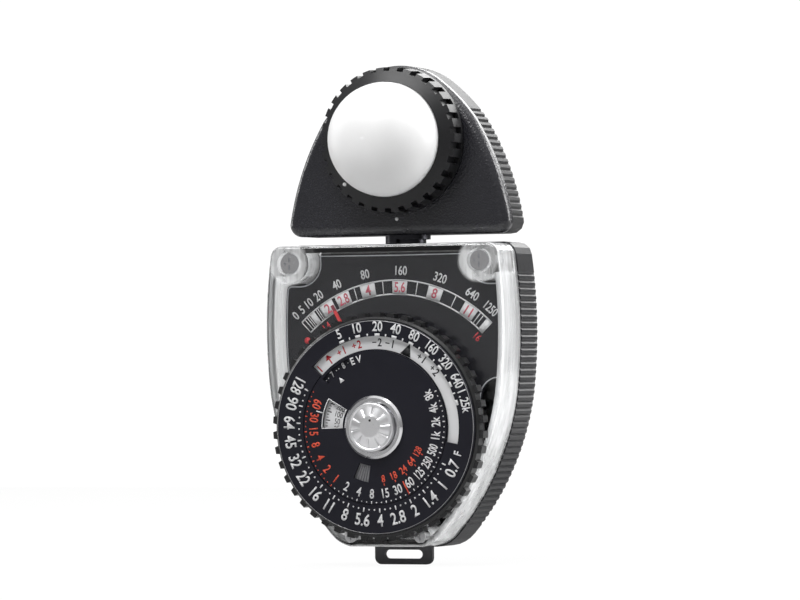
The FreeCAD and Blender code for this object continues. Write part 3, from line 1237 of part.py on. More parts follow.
finish(build_hub_nut(), "hub_nut")
bezel_floor_y = f"({INNER_BACK_Y} - {S}bezel_floor)"
finish(around_dial("button_bezel", [
    (S + "bezel_well_r", BEZEL_Y), (f"{S}bezel_r - 0.5", BEZEL_Y), (S + "bezel_r", f"{BEZEL_Y} + 0.5"),
    (S + "bezel_r", FACE_Y), (S + "bezel_seat_r", FACE_Y), (S + "bezel_seat_r", INNER_BACK_Y),
    (S + "hub_well_r", INNER_BACK_Y), (S + "hub_well_r", f"{INNER_BACK_Y} + 1.8"),
    (S + "bezel_skirt_r", f"{INNER_BACK_Y} + 1.8"), (S + "bezel_skirt_r", bezel_floor_y),
    (S + "bezel_well_r", bezel_floor_y)]), "button_bezel")


def build_stop_button():
    """Round button with flat facets falling from a small flat top, and a bore for the rod."""
    back, front = value(BUTTON_BACK_Y), value(BUTTON_Y)
    radius, top_r = value(S + "button_r"), value(S + "button_top_r")
    fall = value(S + "button_bevel")
    facets = int(value(S + "button_facets"))
    body = Part.makeCylinder(radius, back - front - fall - 0.2, Vector(0, front + fall + 0.2, 0), Vector(0, 1, 0))
    reach = radius / math.cos(math.pi / facets) + 0.02

    def ring(r, y):
        corners = [Vector(r * math.sin(2 * math.pi * i / facets), y, r * math.cos(2 * math.pi * i / facets))
                   for i in range(facets + 1)]
        return Part.makePolygon(corners)

    crown = Part.makeLoft([ring(reach, front + fall), ring(top_r, front)], True, True)
    belt = Part.Face(ring(reach, front + fall)).extrude(Vector(0, 0.3, 0))
    crown = crown.fuse(belt).common(rod(0, 0, radius, front - 1, back))
    body = body.fuse(crown).removeSplitter()
    edges = [e for e in body.Edges if e.BoundBox.YMax < front + 1e-4]
    body = body.makeChamfer(0.06, edges)
    depth = value(S + "rod_in_button")
    return body.cut(rod(0, 0, value(S + "rod_r") + value(S + "running_fit"), back - depth, back + 1))


def build_button_spring():
    """Coil spring between the hub's step and the button."""
    back = value(HUB_WELL_Y)
    front = value(BUTTON_BACK_Y)
    wire = value(S + "spring_wire_r")
    length = back - front - 2 * wire - 0.2
    turns = value(S + "spring_turns")
    helix = Part.makeHelix(length / turns, length, value(S + "spring_r"))
    section = Part.Wire([Part.makeCircle(wire, Vector(value(S + "spring_r"), 0, 0), Vector(0, 1, 0))])
    coil = Part.Wire(helix.Edges).makePipeShell([section], True, True)
    coil.rotate(Vector(), Vector(1, 0, 0), -90)
    coil.translate(Vector(0, front + wire + 0.1, 0))
    return coil


finish(dial_feature("stop_button", build_stop_button()), "stop_button")
finish(cylinder(S + "rod_r", f"{ROD_END_Y} - {BUTTON_BACK_Y} + {S}rod_in_button - 0.05", "0",
                f"{BUTTON_BACK_Y} - {S}rod_in_button + 0.05", S + "dial_z"), "stop_rod")
finish(dial_feature("button_spring", build_button_spring()), "button_spring")

# ---- moving-coil movement ----


def bar(half, thickness_expr, y0, z0, z1):
    return block(f"-{half}", half, y0, f"{y0} + {thickness_expr}", z0, z1)


def build_movement_frame():
    """Plate behind the yoke with two arms, two standoffs and a hole for the rear jewel."""
    ring = cylinder(S + "frame_ring_r", S + "frame_t", "0", MOVE_Y, S + "dial_z")
    arms = bar(S + "frame_arm", S + "frame_t", MOVE_Y, f"{S}dial_z - {S}frame_arm_h",
               f"{S}dial_z + {S}frame_arm_h")
    middle = f"(({S}yoke_in + {S}yoke_out) / 2)"
    posts = [cylinder("1.2", f"{S}standoff + 0.1", f"{side}{middle}", YOKE_BACK_Y, S + "dial_z")
             for side in ("-", "")]
    holes = [cylinder(S + "jewel_r", "4", "0", f"{MOVE_Y} - 1", S + "dial_z")]
    holes += [cylinder("0.9", "4", f"{side}{S}frame_screw_x", f"{MOVE_Y} - 1", S + "dial_z") for side in ("-", "")]
    return cut(fuse([ring, arms] + posts), fuse(holes))


def build_core_spacers():
    """Two non-magnetic blocks that centre the core in the yoke, above and below the coil's sweep."""
    y0, y1 = value(CORE_Y), value(CORE_BACK_Y)
    return Part.Compound([wedge(value(S + "core_r"), value(S + "yoke_in"), middle - 20, 40, y0, y1)
                          for middle in (0, 180)])


def build_front_bridge():
    """Flat bridge over the needle, with two ears that carry the brake's pin."""
    flat = bar(S + "bridge_half", S + "bridge_t", BRIDGE_Y, f"{S}dial_z - {S}bridge_h", f"{S}dial_z + {S}bridge_h")
    pieces = [flat]
    ear_out = f"({S}ear_in + {S}ear_t)"
    ear_top = f"({PIVOT_Z} + 1.1)"
    for x0, x1 in ((f"-{ear_out}", f"-{S}ear_in"), (S + "ear_in", ear_out)):
        pieces.append(block(x0, x1, BRIDGE_Y, BRIDGE_BACK_Y, f"{S}dial_z", ear_top))
        pieces.append(block(x0, x1, f"{PIVOT_Y} - 0.9", BRIDGE_BACK_Y, f"{PIVOT_Z} - 1.1", ear_top))
    holes = [cylinder(S + "jewel_r", "4", "0", f"{BRIDGE_Y} - 1", S + "dial_z")]
    holes += [cylinder("0.6", "4", f"{side}{S}pillar_x", f"{BRIDGE_Y} - 1", S + "dial_z") for side in ("-", "")]
    holes.append(cylinder(S + "lever_pin_r", "12", "-6", PIVOT_Y, PIVOT_Z, ALONG_X))
    return cut(fuse(pieces), fuse(holes))


def build_pillars():
    """Two pillars from the movement frame to the front bridge."""
    return group([cylinder(S + "pillar_r", f"{MOVE_Y} - {BRIDGE_BACK_Y}", f"{side}{S}pillar_x", BRIDGE_BACK_Y,
                           S + "dial_z") for side in ("-", "")])


def build_movement_screws():
    """Two screws hold the bridge to its pillars and two hold the frame to the case."""
    screws = []
    for side in ("-", ""):
        x = f"{side}{S}pillar_x"
        head = cylinder("1.1", "0.5", x, f"{BRIDGE_Y} - 0.5", S + "dial_z")
        shank = cylinder("0.6", S + "bridge_t", x, BRIDGE_Y, S + "dial_z")
        screws.append(fuse([head, shank]))
        x = f"{side}{S}frame_screw_x"
        head = cylinder("1.7", "0.9", x, f"{MOVE_Y} - 0.9", S + "dial_z")
        shank = cylinder("0.9", f"{S}frame_t + 1.2", x, MOVE_Y, S + "dial_z")
        screws.append(fuse([head, shank]))
    return group(screws)


def jewel(y0, y1, bore_from_front):
    """Round bearing with a blind hole for the pivot."""
    blank = cylinder(S + "jewel_r", f"{y1} - {y0}", "0", y0, S + "dial_z")
    start = f"{y0} - 1" if bore_from_front else f"{y0} + 0.25"
    bore = cylinder(f"{S}staff_r + {S}running_fit", f"{y1} - {y0} + 0.75", "0", start, S + "dial_z")
    return cut(blank, bore)


def build_jewels():
    front = jewel(BRIDGE_Y, f"({BRIDGE_BACK_Y} + 0.1)", False)
    rear = jewel(f"({MOVE_Y} - 0.2)", MOVE_BACK_Y, True)
    return group([front, rear])


finish(build_movement_frame(), "movement_frame")
finish(around_dial("yoke", [(S + "yoke_in", YOKE_Y), (S + "yoke_out", YOKE_Y), (S + "yoke_out", YOKE_BACK_Y),
                            (S + "yoke_in", YOKE_BACK_Y)]), "yoke_ring")
finish(cylinder(S + "core_r", S + "core_t", "0", CORE_Y, S + "dial_z"), "magnet_core")
finish(dial_feature("core_spacers", build_core_spacers()), "core_spacers")
finish(build_front_bridge(), "front_bridge")
finish(build_pillars(), "bridge_pillars")
finish(build_movement_screws(), "movement_screws")
finish(build_jewels(), "jewel_bearings")

# ---- needle, coil and hairsprings: turned together to the resting angle ----


def at_rest(shape):
    """Turn a shape about the needle axis from upright to the resting angle."""
    turned_shape = shape.copy()
    turned_shape.rotate(Vector(), Vector(0, 1, 0), value(S + "needle_rest"))
    return turned_shape


def build_needle():
    """Fine tapered pointer with a hub and a short tail."""
    y0, y1 = value(NEEDLE_Y), value(NEEDLE_BACK_Y)
    tip, tail = value(S + "needle_length"), -value(S + "needle_tail")
    fine = value(S + "needle_half")
    outline = [Vector(-fine, y0, tip), Vector(fine, y0, tip), Vector(0.55, y0, 3), Vector(0.55, y0, tail),
               Vector(-0.55, y0, tail), Vector(-0.55, y0, 3), Vector(-fine, y0, tip)]
    arm = Part.Face(Part.makePolygon(outline)).extrude(Vector(0, y1 - y0, 0))
    hub = rod(0, 0, 1.1, y0, y1 + 0.6)
    return arm.fuse(hub).cut(rod(0, 0, value(S + "staff_r"), y0 - 1, y1 + 2))


def build_coil():
    """Rectangular winding round the core."""
    inner, outer = value(S + "coil_in"), value(S + "coil_out")
    half, bar_t = value(S + "coil_half"), value(S + "coil_bar")
    y0, y1 = value(COIL_Y), value(COIL_BACK_Y)
    outside = Part.makeBox(2 * outer, y1 - y0, 2 * half, Vector(-outer, y0, -half))
    inside = Part.makeBox(2 * inner, y1 - y0 - 2 * bar_t, 2 * half + 2, Vector(-inner, y0 + bar_t, -half - 1))
    return outside.cut(inside)


def build_staffs():
    radius = value(S + "staff_r")
    front = rod(0, 0, radius, value(BRIDGE_Y) + 0.35, value(COIL_Y))
    rear = rod(0, 0, radius, value(COIL_BACK_Y), value(MOVE_Y) + 0.6)
    return Part.Compound([front, rear])


def build_counterweights():
    """Balance weight on the needle's tail."""
    y1 = value(NEEDLE_BACK_Y)
    z = -value(S + "needle_tail") + 1.2
    return rod(0, z, 1.0, y1, y1 + 0.6)


def spiral(y0, y1, turns):
    """A flat spiral ribbon made of half rings, each centred half a pitch from the last."""
    ribbon = None
    thick, pitch = value(S + "hair_t"), value(S + "hair_pitch")
    first = value(S + "staff_r") + value(S + "hair_gap") + thick / 2 + pitch / 4
    for i in range(2 * turns):
        side = 1 if i % 2 == 0 else -1
        radius = first + pitch * i / 2
        shift = side * pitch / 4
        start = 0 if side > 0 else 180
        half = wedge(radius - thick / 2, radius + thick / 2, start, 180, y0, y1)
        half.translate(Vector(0, 0, shift))
        ribbon = half if ribbon is None else ribbon.fuse(half)
    return ribbon


def build_hairsprings():
    """The two flat spiral springs that carry the current and pull the needle back."""
    front = (value(NEEDLE_BACK_Y) + 0.6 + value(COIL_Y)) / 2
    rear = (value(COIL_BACK_Y) + value(ZERO_LEVER_Y)) / 2
    return Part.Compound([spiral(y - 0.15, y + 0.15, 4) for y in (front, rear)])


finish(dial_feature("needle", at_rest(build_needle())), "needle")
finish(dial_feature("moving_coil", at_rest(build_coil())), "moving_coil")
finish(dial_feature("pivot_staffs", build_staffs()), "pivot_staffs")
finish(dial_feature("counterweight", at_rest(build_counterweights())), "needle_counterweight")
finish(dial_feature("hairsprings", at_rest(build_hairsprings())), "hairsprings")

# ---- needle brake ----


def build_brake_lever():
    """Rocking plate: the rod pushes its lower end, its upper end carries the curved shoe."""
    y0, y1 = value(LEVER_Y), value(LEVER_BACK_Y)
    half = value(S + "lever_half")
    low, pad_r, pad_w = -value(S + "lever_low"), value(S + "pad_r"), value(S + "pad_w")
    plate = Part.makeBox(2 * half, y1 - y0, pad_r + pad_w / 2 - low, Vector(-half, y0, low))
    shoe_back = value(NEEDLE_Y) - value(S + "pad_t") - 0.05
    foot = Part.makeBox(2 * half, shoe_back - y0, 0.8, Vector(-half, y0, pad_r + pad_w / 2 - 0.8))
    half_deg = value(S + "pad_half_deg")
    shoe = wedge(pad_r - pad_w / 2, pad_r + pad_w / 2, -half_deg, 2 * half_deg, shoe_back - 0.4, shoe_back)
    up, pivot_y = value(S + "lever_up"), value(PIVOT_Y)
    long = value(S + "ear_in") - 0.15
    pin_r = value(S + "lever_pin_r")
    barrel = Part.makeCylinder(pin_r + 0.4, 2 * long, Vector(-long, pivot_y, up), Vector(1, 0, 0))
    bore = Part.makeCylinder(pin_r + value(S + "running_fit"), 20, Vector(-10, pivot_y, up), Vector(1, 0, 0))
    return plate.multiFuse([foot, shoe, barrel]).cut(bore)


def build_brake_pad():
    half_deg = value(S + "pad_half_deg")
    pad_r, pad_w = value(S + "pad_r"), value(S + "pad_w")
    back = value(NEEDLE_Y) - 0.05
    return wedge(pad_r - pad_w / 2, pad_r + pad_w / 2, -half_deg, 2 * half_deg, back - value(S + "pad_t"), back)


finish(dial_feature("brake_lever", build_brake_lever()), "brake_lever")
finish(dial_feature("brake_pad", build_brake_pad()), "brake_pad")
ear_out = f"({S}ear_in + {S}ear_t)"
finish(cylinder(S + "lever_pin_r", f"2 * {ear_out}", f"-{ear_out}", PIVOT_Y, PIVOT_Z, ALONG_X), "brake_pin")

# ---- zero adjustment ----


def build_zero_screw():
    """Slotted screw in the case back with an eccentric pin at its inner end."""
    head = cylinder(S + "zero_r", f"{S}back_y - 0.2 - ({BACK_IN_Y} - 0.5)", "0", f"{BACK_IN_Y} - 0.5", ZERO_Z)
    slot = block("-3", "3", f"{S}back_y - 0.9", f"{S}back_y + 1", f"{ZERO_Z} - 0.35", f"{ZERO_Z} + 0.35")
    pin = cylinder(S + "zero_pin_r", f"{BACK_IN_Y} - 0.4 - ({ZERO_LEVER_Y} - 0.2)", "0", f"{ZERO_LEVER_Y} - 0.2",
                   f"{ZERO_Z} + {S}zero_pin_out")
    return fuse([cut(head, slot), pin])


def build_zero_lever():
    """Arm round the rear jewel whose slot takes the zero screw's pin."""
    y0, y1 = value(ZERO_LEVER_Y), value(ZERO_LEVER_BACK_Y)
    ring_r = 2.6
    down = value(S + "zero_down") - value(S + "zero_pin_out")
    ring = rod(0, 0, ring_r, y0, y1)
    arm = Part.makeBox(3.0, y1 - y0, down + 1.6, Vector(-1.5, y0, -down - 1.6))
    pin_r = value(S + "zero_pin_r") + value(S + "zero_slot_gap")
    slot = Part.makeBox(2 * pin_r, y1 - y0, 4.0, Vector(-pin_r, y0, -down - 2.6))
    bore = rod(0, 0, value(S + "staff_r") + 0.6, y0, y1)
    return ring.fuse(arm).cut(slot).cut(bore)


finish(build_zero_screw(), "zero_screw")
finish(dial_feature("zero_lever", build_zero_lever()), "zero_lever")

# ---- circuit board and brushes ----

BOARD_LOW = f"({S}board_z - {S}board_half_z)"
BOARD_TOP = f"({S}board_z + {S}board_half_z)"


def build_board():
    plate = block(f"-{S}board_half_x", S + "board_half_x", BOARD_Y, BOARD_BACK_Y, BOARD_LOW, BOARD_TOP)
    spots = [f"{side}({S}board_half_x - 2.0)" for side in ("-", "")]
    holes = [cylinder("0.7", "4", x, f"{BOARD_Y} - 1", S + "board_z") for x in spots]
    return cut(plate, fuse(holes))


def build_small_screws():
    """Three screws hold the scale plate and two hold the circuit board."""
    head_y = f"({PLATE_Y} - 0.5)"
    places = [(f"-{S}plate_post_x", PLATE_POST_UP_Z), (S + "plate_post_x", PLATE_POST_UP_Z),
              ("0", PLATE_POST_LOW_Z)]
    screws = [screw(x, z, head_y, "1.3", "0.5", S + "plate_screw_r", "4.0") for x, z in places]
    for side in ("-", ""):
        x = f"{side}({S}board_half_x - 2.0)"
        head = cylinder("1.3", "0.7", x, f"{BOARD_Y} - 0.7", S + "board_z")
        shank = cylinder("0.7", f"{S}board_t + 1.5", x, BOARD_Y, S + "board_z")
        screws.append(fuse([head, shank]))
    return group(screws)


def build_resistors():
    """Three small fixed resistors lying on the board and the trimmer beside them."""
    fixed = [cylinder("0.9", "4.6", "-9.6", f"{BOARD_Y} - 0.9", f"{S}board_z + {shift}", ALONG_X)
             for shift in ("-2.6", "0", "2.6")]
    return group(fixed + [build_trimmer()])


def build_trimmer():
    """Square trimmer with a round slotted rotor."""
    base = block("6.4", "10.8", f"{BOARD_Y} - 1.8", BOARD_Y, f"{S}board_z - 2.2", f"{S}board_z + 2.2")
    rotor = cylinder("1.6", "0.7", "8.6", f"{BOARD_Y} - 2.4", S + "board_z")
    slot = block("7.3", "9.9", f"{BOARD_Y} - 3", f"{BOARD_Y} - 2.1", f"{S}board_z - 0.25", f"{S}board_z + 0.25")
    return cut(fuse([base, rotor]), slot)


def build_brushes():
    """Two bent leaf springs from the board to the slip rings, one each side of the neck."""
    brushes = []
    contact = f"({slip_out} + 0.02)"
    foot_z = f"({BOARD_TOP} - 2.0)"
    for sign, top in (("-1", f"({slip_level('0.6')} + {S}slip_t)"), ("1", f"({slip_level('3.2')} + {S}slip_t)")):
        a = f"{sign} * {contact}"
        b = f"{sign} * ({contact} + {S}brush_t)"
        x0, x1 = (b, a) if sign == "-1" else (a, b)
        leaf = block(x0, x1, f"{NECK_Y} - {S}brush_half", f"{NECK_Y} + {S}brush_half", foot_z, top)
        foot = block(x0, x1, f"{NECK_Y} - {S}brush_half", BOARD_Y, foot_z, f"{foot_z} + 1.4")
        brushes.append(fuse([leaf, foot]))
    return group(brushes)


finish(build_board(), "circuit_board")
finish(build_small_screws(), "small_screws")
finish(build_resistors(), "resistors")
finish(build_brushes(), "contact_brushes")

# ---- check and write ----

doc.recompute()
for obj in doc.Objects:
    if "Invalid" in obj.State or "Error" in obj.State:
        raise RuntimeError(f"{obj.Name} ({obj.Label}) did not build: {obj.State}")
os.makedirs("parts", exist_ok=True)
for obj in made:
    if obj.Shape.isNull() or not obj.Shape.isValid():
        raise RuntimeError(f"{obj.Label} has no valid shape")
    obj.Shape.exportStep(f"parts/{obj.Label}.step")
    print(f"{obj.Label}: {len(obj.Shape.Solids)} solid(s), {obj.Shape.Volume:.1f} mm3")
print(len(made), "sub-parts")
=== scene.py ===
import math

import bmesh
import bpy
import numpy as np
from mathutils import Matrix, Vector


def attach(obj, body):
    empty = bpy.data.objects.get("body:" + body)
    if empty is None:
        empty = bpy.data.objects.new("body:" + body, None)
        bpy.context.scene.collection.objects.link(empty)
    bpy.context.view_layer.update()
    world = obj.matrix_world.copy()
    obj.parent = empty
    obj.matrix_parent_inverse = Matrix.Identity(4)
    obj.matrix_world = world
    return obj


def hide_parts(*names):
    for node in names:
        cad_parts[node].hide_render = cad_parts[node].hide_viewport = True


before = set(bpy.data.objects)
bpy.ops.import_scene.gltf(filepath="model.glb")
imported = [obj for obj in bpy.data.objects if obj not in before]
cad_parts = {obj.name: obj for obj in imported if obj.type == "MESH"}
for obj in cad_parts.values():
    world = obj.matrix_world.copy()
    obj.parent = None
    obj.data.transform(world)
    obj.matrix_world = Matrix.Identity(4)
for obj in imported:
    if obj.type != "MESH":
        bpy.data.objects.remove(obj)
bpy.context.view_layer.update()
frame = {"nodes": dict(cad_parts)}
nodes = frame["nodes"]
mm = 0.001
print("frame loaded:", len(nodes), "nodes")

cameraView = {
    "azimuth": 23.092, "elevation": -0.85, "roll": -0.579,  # degrees, from straight in front
    "distance": 1049.7, "right": 4.032, "up": 3.224, "aimHeight": 56.0, "dialOffset": -6.2,  # mm
    "lens": 212.4, "sensor": 36.0, "nearest": 10.0,
}


def makeCamera(view):
    a, e, roll = (math.radians(view[k]) for k in ("azimuth", "elevation", "roll"))
    forward = Vector((-math.sin(a) * math.cos(e), math.cos(a) * math.cos(e), -math.sin(e)))
    level = Vector((math.cos(a), math.sin(a), 0))
    upright = level.cross(forward)
    right = level * math.cos(roll) + upright * math.sin(roll)
    up = upright * math.cos(roll) - level * math.sin(roll)
    place = Vector((0, view["dialOffset"], view["aimHeight"])) + right * view["right"] + up * view["up"]
    place -= forward * view["distance"]
    data = bpy.data.cameras.new("camera")
    data.sensor_width = view["sensor"]
    data.lens = view["lens"]
    data.clip_start = view["nearest"] * mm
    camera = bpy.data.objects.new("camera", data)
    axes = Matrix((right, up, -forward)).transposed().to_4x4()
    camera.matrix_world = Matrix.Translation(place * mm) @ axes
    bpy.context.scene.collection.objects.link(camera)
    bpy.context.scene.camera = camera


makeCamera(cameraView)
bpy.context.scene.view_settings.view_transform = "Standard"


# A socket that takes part in Python sums: each sum adds its Math node.
class Wire:
    def __init__(self, nodes, socket):
        self.nodes = nodes
        self.socket = socket

    def maths(self, operation, *others):
        return self.nodes.node("ShaderNodeMath", {"operation": operation}, dict(enumerate((self, *others))))

    def __add__(self, other):
        return self.maths("ADD", other)

    def __mul__(self, other):
        return self.maths("MULTIPLY", other)

    def __sub__(self, other):
        return self.maths("SUBTRACT", other)

    def __rsub__(self, other):
        return self.nodes.node("ShaderNodeMath", {"operation": "SUBTRACT"}, {0: other, 1: self})

    def __gt__(self, other):
        return self.maths("GREATER_THAN", other)

    def __lt__(self, other):
        return self.maths("LESS_THAN", other)


# A tree of shader nodes.
class NodeTree:
    def __init__(self, tree):
        self.tree = tree

    # One node of any type: its settings first, then the values or links of its sockets.
    def node(self, kind, settings=None, values=None, out=0):
        made = self.tree.nodes.new(kind)
        for key, value in (settings or {}).items():
            setattr(made, key, value)
        for key, value in (values or {}).items():
            if isinstance(value, Wire):
                self.tree.links.new(value.socket, made.inputs[key])
            else:
                made.inputs[key].default_value = value
        return None if out is None else Wire(self, made.outputs[out])

    # Another output of the node that a wire comes from.
    def other(self, wire, out):
        return Wire(self, wire.socket.node.outputs[out])

    # A value carried from one range to another, with soft ends.
    def eased(self, value, span, first, last, kind="SMOOTHSTEP"):
        limits = {"From Min": span[0], "From Max": span[1], "To Min": first, "To Max": last}
        return self.node("ShaderNodeMapRange", {"interpolation_type": kind}, {"Value": value, **limits})


# A material with one Principled shader, whose constants are set on its own sockets.
class Finish(NodeTree):
    def __init__(self, name, **constants):
        self.material = bpy.data.materials.new(name)
        self.material.use_nodes = True
        super().__init__(self.material.node_tree)
        shader = self.tree.nodes["Principled BSDF"]
        self.shader = Wire(self, shader.outputs[0])
        self.inputs = shader.inputs
        self.surface = self.tree.nodes["Material Output"].inputs["Surface"]
        for socket, value in constants.items():
            self.inputs[socket.replace("_", " ")].default_value = value
        self.coordinates = None

    def place(self):
        if self.coordinates is None:
            self.coordinates = self.node("ShaderNodeTexCoord", out="Object")
        return self.coordinates

    # Object coordinates moved and stretched, in metres.
    def mapped(self, location=(0, 0, 0), scale=(1, 1, 1)):
        values = {"Vector": self.place(), "Location": location, "Scale": scale}
        return self.node("ShaderNodeMapping", {}, values)

    def axis(self, name):
        return self.node("ShaderNodeSeparateXYZ", {}, {"Vector": self.place()}, name)

    # Distances across and up from an axis that runs along Y at a given height.
    def fromAxis(self, height):
        moved = self.mapped(location=(0, 0, -height))
        across = self.node("ShaderNodeSeparateXYZ", {}, {"Vector": moved}, "X")
        return across, self.other(across, "Z")

    def noise(self, scale, detail=3.0, roughness=0.55, where=None):
        return self.node("ShaderNodeTexNoise", {}, {"Vector": where or self.place(), "Scale": scale,
                                                    "Detail": detail, "Roughness": roughness}, "Fac")

    # Marks in coordinates that are stretched already.
    def streaks(self, where):
        return self.noise(1.0, 3.0, 0.6, where)

    def cells(self, scale):
        return self.node("ShaderNodeTexVoronoi", {}, {"Vector": self.place(), "Scale": scale}, "Distance")

    # Even bands along one axis, 0 to 1.
    def waves(self, axis, scale, distortion=0.0):
        values = {"Vector": self.place(), "Scale": scale, "Distortion": distortion}
        return self.node("ShaderNodeTexWave", {"bands_direction": axis}, values, "Fac")

    def blend(self, factor, first, second):
        colours = [c if isinstance(c, Wire) else (*c, 1) for c in (first, second)]
        values = {"Factor": factor, 6: colours[0], 7: colours[1]}
        return self.node("ShaderNodeMix", {"data_type": "RGBA"}, values, 2)

    def feed(self, socket, wire):
        self.tree.links.new(wire.socket, self.inputs[socket])
        return self

    # Base colour that goes from one shade to another with a texture.
    def shade(self, factor, first, second):
        return self.feed("Base Color", self.blend(factor, first, second))

    # Roughness round a middle value: each texture adds its own share of change.
    def rough(self, middle, *shares):
        total = None
        for texture, share in shares:
            total = texture * share if total is None else total + texture * share
        return self.feed("Roughness", total + (middle - sum(share for _, share in shares) / 2))

    # Height in metres, felt through a Bump node.
    def bump(self, height, depth):
        return self.feed("Normal", self.node("ShaderNodeBump", {}, {"Height": height, "Distance": depth}))

    # What the surface shows: one shader mixed over another.
    def cover(self, factor, first, second):
        mixed = self.node("ShaderNodeMixShader", {}, {0: factor, 1: first, 2: second})
        self.tree.links.new(mixed.socket, self.surface)
        return mixed


def scaled(colour, factor, lift=0.0):
    return [min(1.0, c * factor + lift) for c in colour]


stageLook = {
    "floorSize": 1.3, "drop": 0.00005,  # metres
    "floor": (0.5, 0.5, 0.5), "mottle": 40.0, "mottleShade": 0.98, "gloss": 0.9,
    "white": 1.05, "glow": 0.9,  # how white the camera sees it, and how far that covers the lit floor
}


def makeFloor(look):
    half = look["floorSize"] / 2
    mesh = bpy.data.meshes.new("floor")
    corners = [(-half, -half, 0), (half, -half, 0), (half, half, 0), (-half, half, 0)]
    mesh.from_pydata(corners, [], [(0, 1, 2, 3)])
    mesh.transform(Matrix.Translation((0, 0, -look["drop"])))
    floor = bpy.data.objects.new("floor", mesh)
    bpy.context.scene.collection.objects.link(floor)
    finish = Finish("floorPale", Roughness=look["gloss"], Specular_IOR_Level=0.0)
    finish.shade(finish.noise(look["mottle"]), look["floor"], scaled(look["floor"], look["mottleShade"]))
    glow = finish.node("ShaderNodeEmission", {}, {"Color": (1, 1, 1, 1), "Strength": look["white"]})
    seen = finish.node("ShaderNodeLightPath", out="Is Camera Ray")
    through = finish.other(seen, "Is Transmission Ray")
    finish.cover(seen.maths("MAXIMUM", through) * look["glow"], finish.shader, glow)
    mesh.materials.append(finish.material)


makeFloor(stageLook)

# The sky is plain white to look at. What it lights and what it shows in a gloss are set apart, as in a
# studio with white paper behind and dark cloth around: dim low down, brighter overhead.
skyLook = {
    "seen": 1.05, "fill": 0.17, "glossLow": 0.06, "glossLevel": 0.34, "glossTop": 1.0, "glossSide": 0.16,
    # from where to where, in sines of the ray's slope, the gloss goes from low to level, from level to top,
    # and from the front's level to the side's
    "lowRise": (-0.35, 0.1), "topRise": (0.15, 0.8), "frontFade": (-0.6, 0.1),
}


def makeSky(look):
    world = bpy.data.worlds.new("sky")
    bpy.context.scene.world = world
    world.use_nodes = True
    world.node_tree.nodes.clear()
    sky = NodeTree(world.node_tree)
    where = sky.node("ShaderNodeTexCoord", out="Generated")
    y = sky.node("ShaderNodeSeparateXYZ", {}, {"Vector": where}, "Y")
    z = sky.other(y, "Z")
    rise = sky.eased(z, look["lowRise"], look["glossLow"], look["glossLevel"])
    rise = rise + sky.eased(z, look["topRise"], 0.0, look["glossTop"] - look["glossLevel"])
    gloss = rise - sky.eased(y, look["frontFade"], 0.0, look["glossLevel"] - look["glossSide"])
    path = sky.node("ShaderNodeLightPath", out="Is Camera Ray")
    through = sky.other(path, "Is Transmission Ray")
    lighting = sky.other(path, "Is Glossy Ray") * (gloss - look["fill"]) + look["fill"]
    # a ray that bounced before it went through something clear gets the lighting, not the white
    bounces = sky.other(path, "Diffuse Depth") + sky.other(path, "Glossy Depth")
    straight = path.maths("MAXIMUM", through) * (bounces < 0.5)
    level = straight * (look["seen"] - lighting) + lighting
    shade = sky.node("ShaderNodeBackground", {}, {"Color": (1, 1, 1, 1), "Strength": level})
    sky.node("ShaderNodeOutputWorld", {}, {"Surface": shade}, None)


makeSky(skyLook)

# Soft boxes: place and aim in metres, size in metres, power in watts.
softBoxes = [
    {"name": "key", "at": (-0.06, -0.38, 0.60), "size": (0.50, 0.30), "power": 4.0},
    {"name": "overhead", "at": (0.12, 0.12, 0.75), "size": (0.60, 0.45), "power": 2.6},
    {"name": "rightStrip", "at": (0.62, 0.34, 0.26), "size": (0.22, 0.6), "power": 4.5},
    {"name": "backTop", "at": (0.10, 0.85, 0.46), "size": (0.80, 0.30), "power": 3.6},
    {"name": "leftStrip", "at": (-0.62, 0.10, 0.25), "size": (0.12, 0.5), "power": 1.2},
]
boxAim = Vector((0, 0, 0.06))


def makeLight(box, aim):
    data = bpy.data.lights.new(box["name"], "AREA")
    data.shape = "RECTANGLE"
    data.size, data.size_y = box["size"]
    data.energy = box["power"]
    light = bpy.data.objects.new(box["name"], data)
    at = Vector(box["at"])
    light.visible_camera = False
    light.visible_transmission = False
    turn = (aim - at).to_track_quat("-Z", "Y").to_matrix().to_4x4()
    light.matrix_world = Matrix.Translation(at) @ turn
    bpy.context.scene.collection.objects.link(light)


for box in softBoxes:
    makeLight(box, boxAim)
print("camera, floor and light made")


# Moulded plastic: a fine grain, a slow change of shade, and gloss that varies with both.
def plastic(name, colour, gloss, grain=1800.0, depth=0.00002, shine=0.5):
    finish = Finish(name, Specular_IOR_Level=shine)
    fine = finish.noise(grain, 2.0)
    slow = finish.noise(90.0)
    finish.shade(slow, colour, scaled(colour, 1.25, 0.004))
    return finish.rough(gloss, (slow, 0.10), (fine, 0.08)).bump(fine, depth)


# Leather-like grain of shallow cells over a glossy body.
def grained(name, colour, gloss, cellScale, depth):
    finish = Finish(name, Coat_Weight=0.25, Coat_Roughness=0.22)
    cells = finish.cells(cellScale)
    fine = finish.noise(cellScale * 2.2, 2.0)
    slow = finish.noise(60.0, 2.0)
    finish.shade(slow, colour, scaled(colour, 1.6, 0.002))
    return finish.rough(gloss, (slow, 0.08), (cells, 0.06)).bump(cells * 0.8 + fine * 0.35, depth)


# Metal with fine marks along one axis, given as the noise's stretch.
def metal(name, colour, gloss, stretch=(400, 400, 6000), depth=0.000004):
    finish = Finish(name, Metallic=1.0)
    marks = finish.streaks(finish.mapped(scale=stretch))
    slow = finish.noise(150.0)
    finish.shade(slow, colour, scaled(colour, 0.88))
    return finish.rough(gloss, (marks, 0.14), (slow, 0.08)).bump(marks, depth)


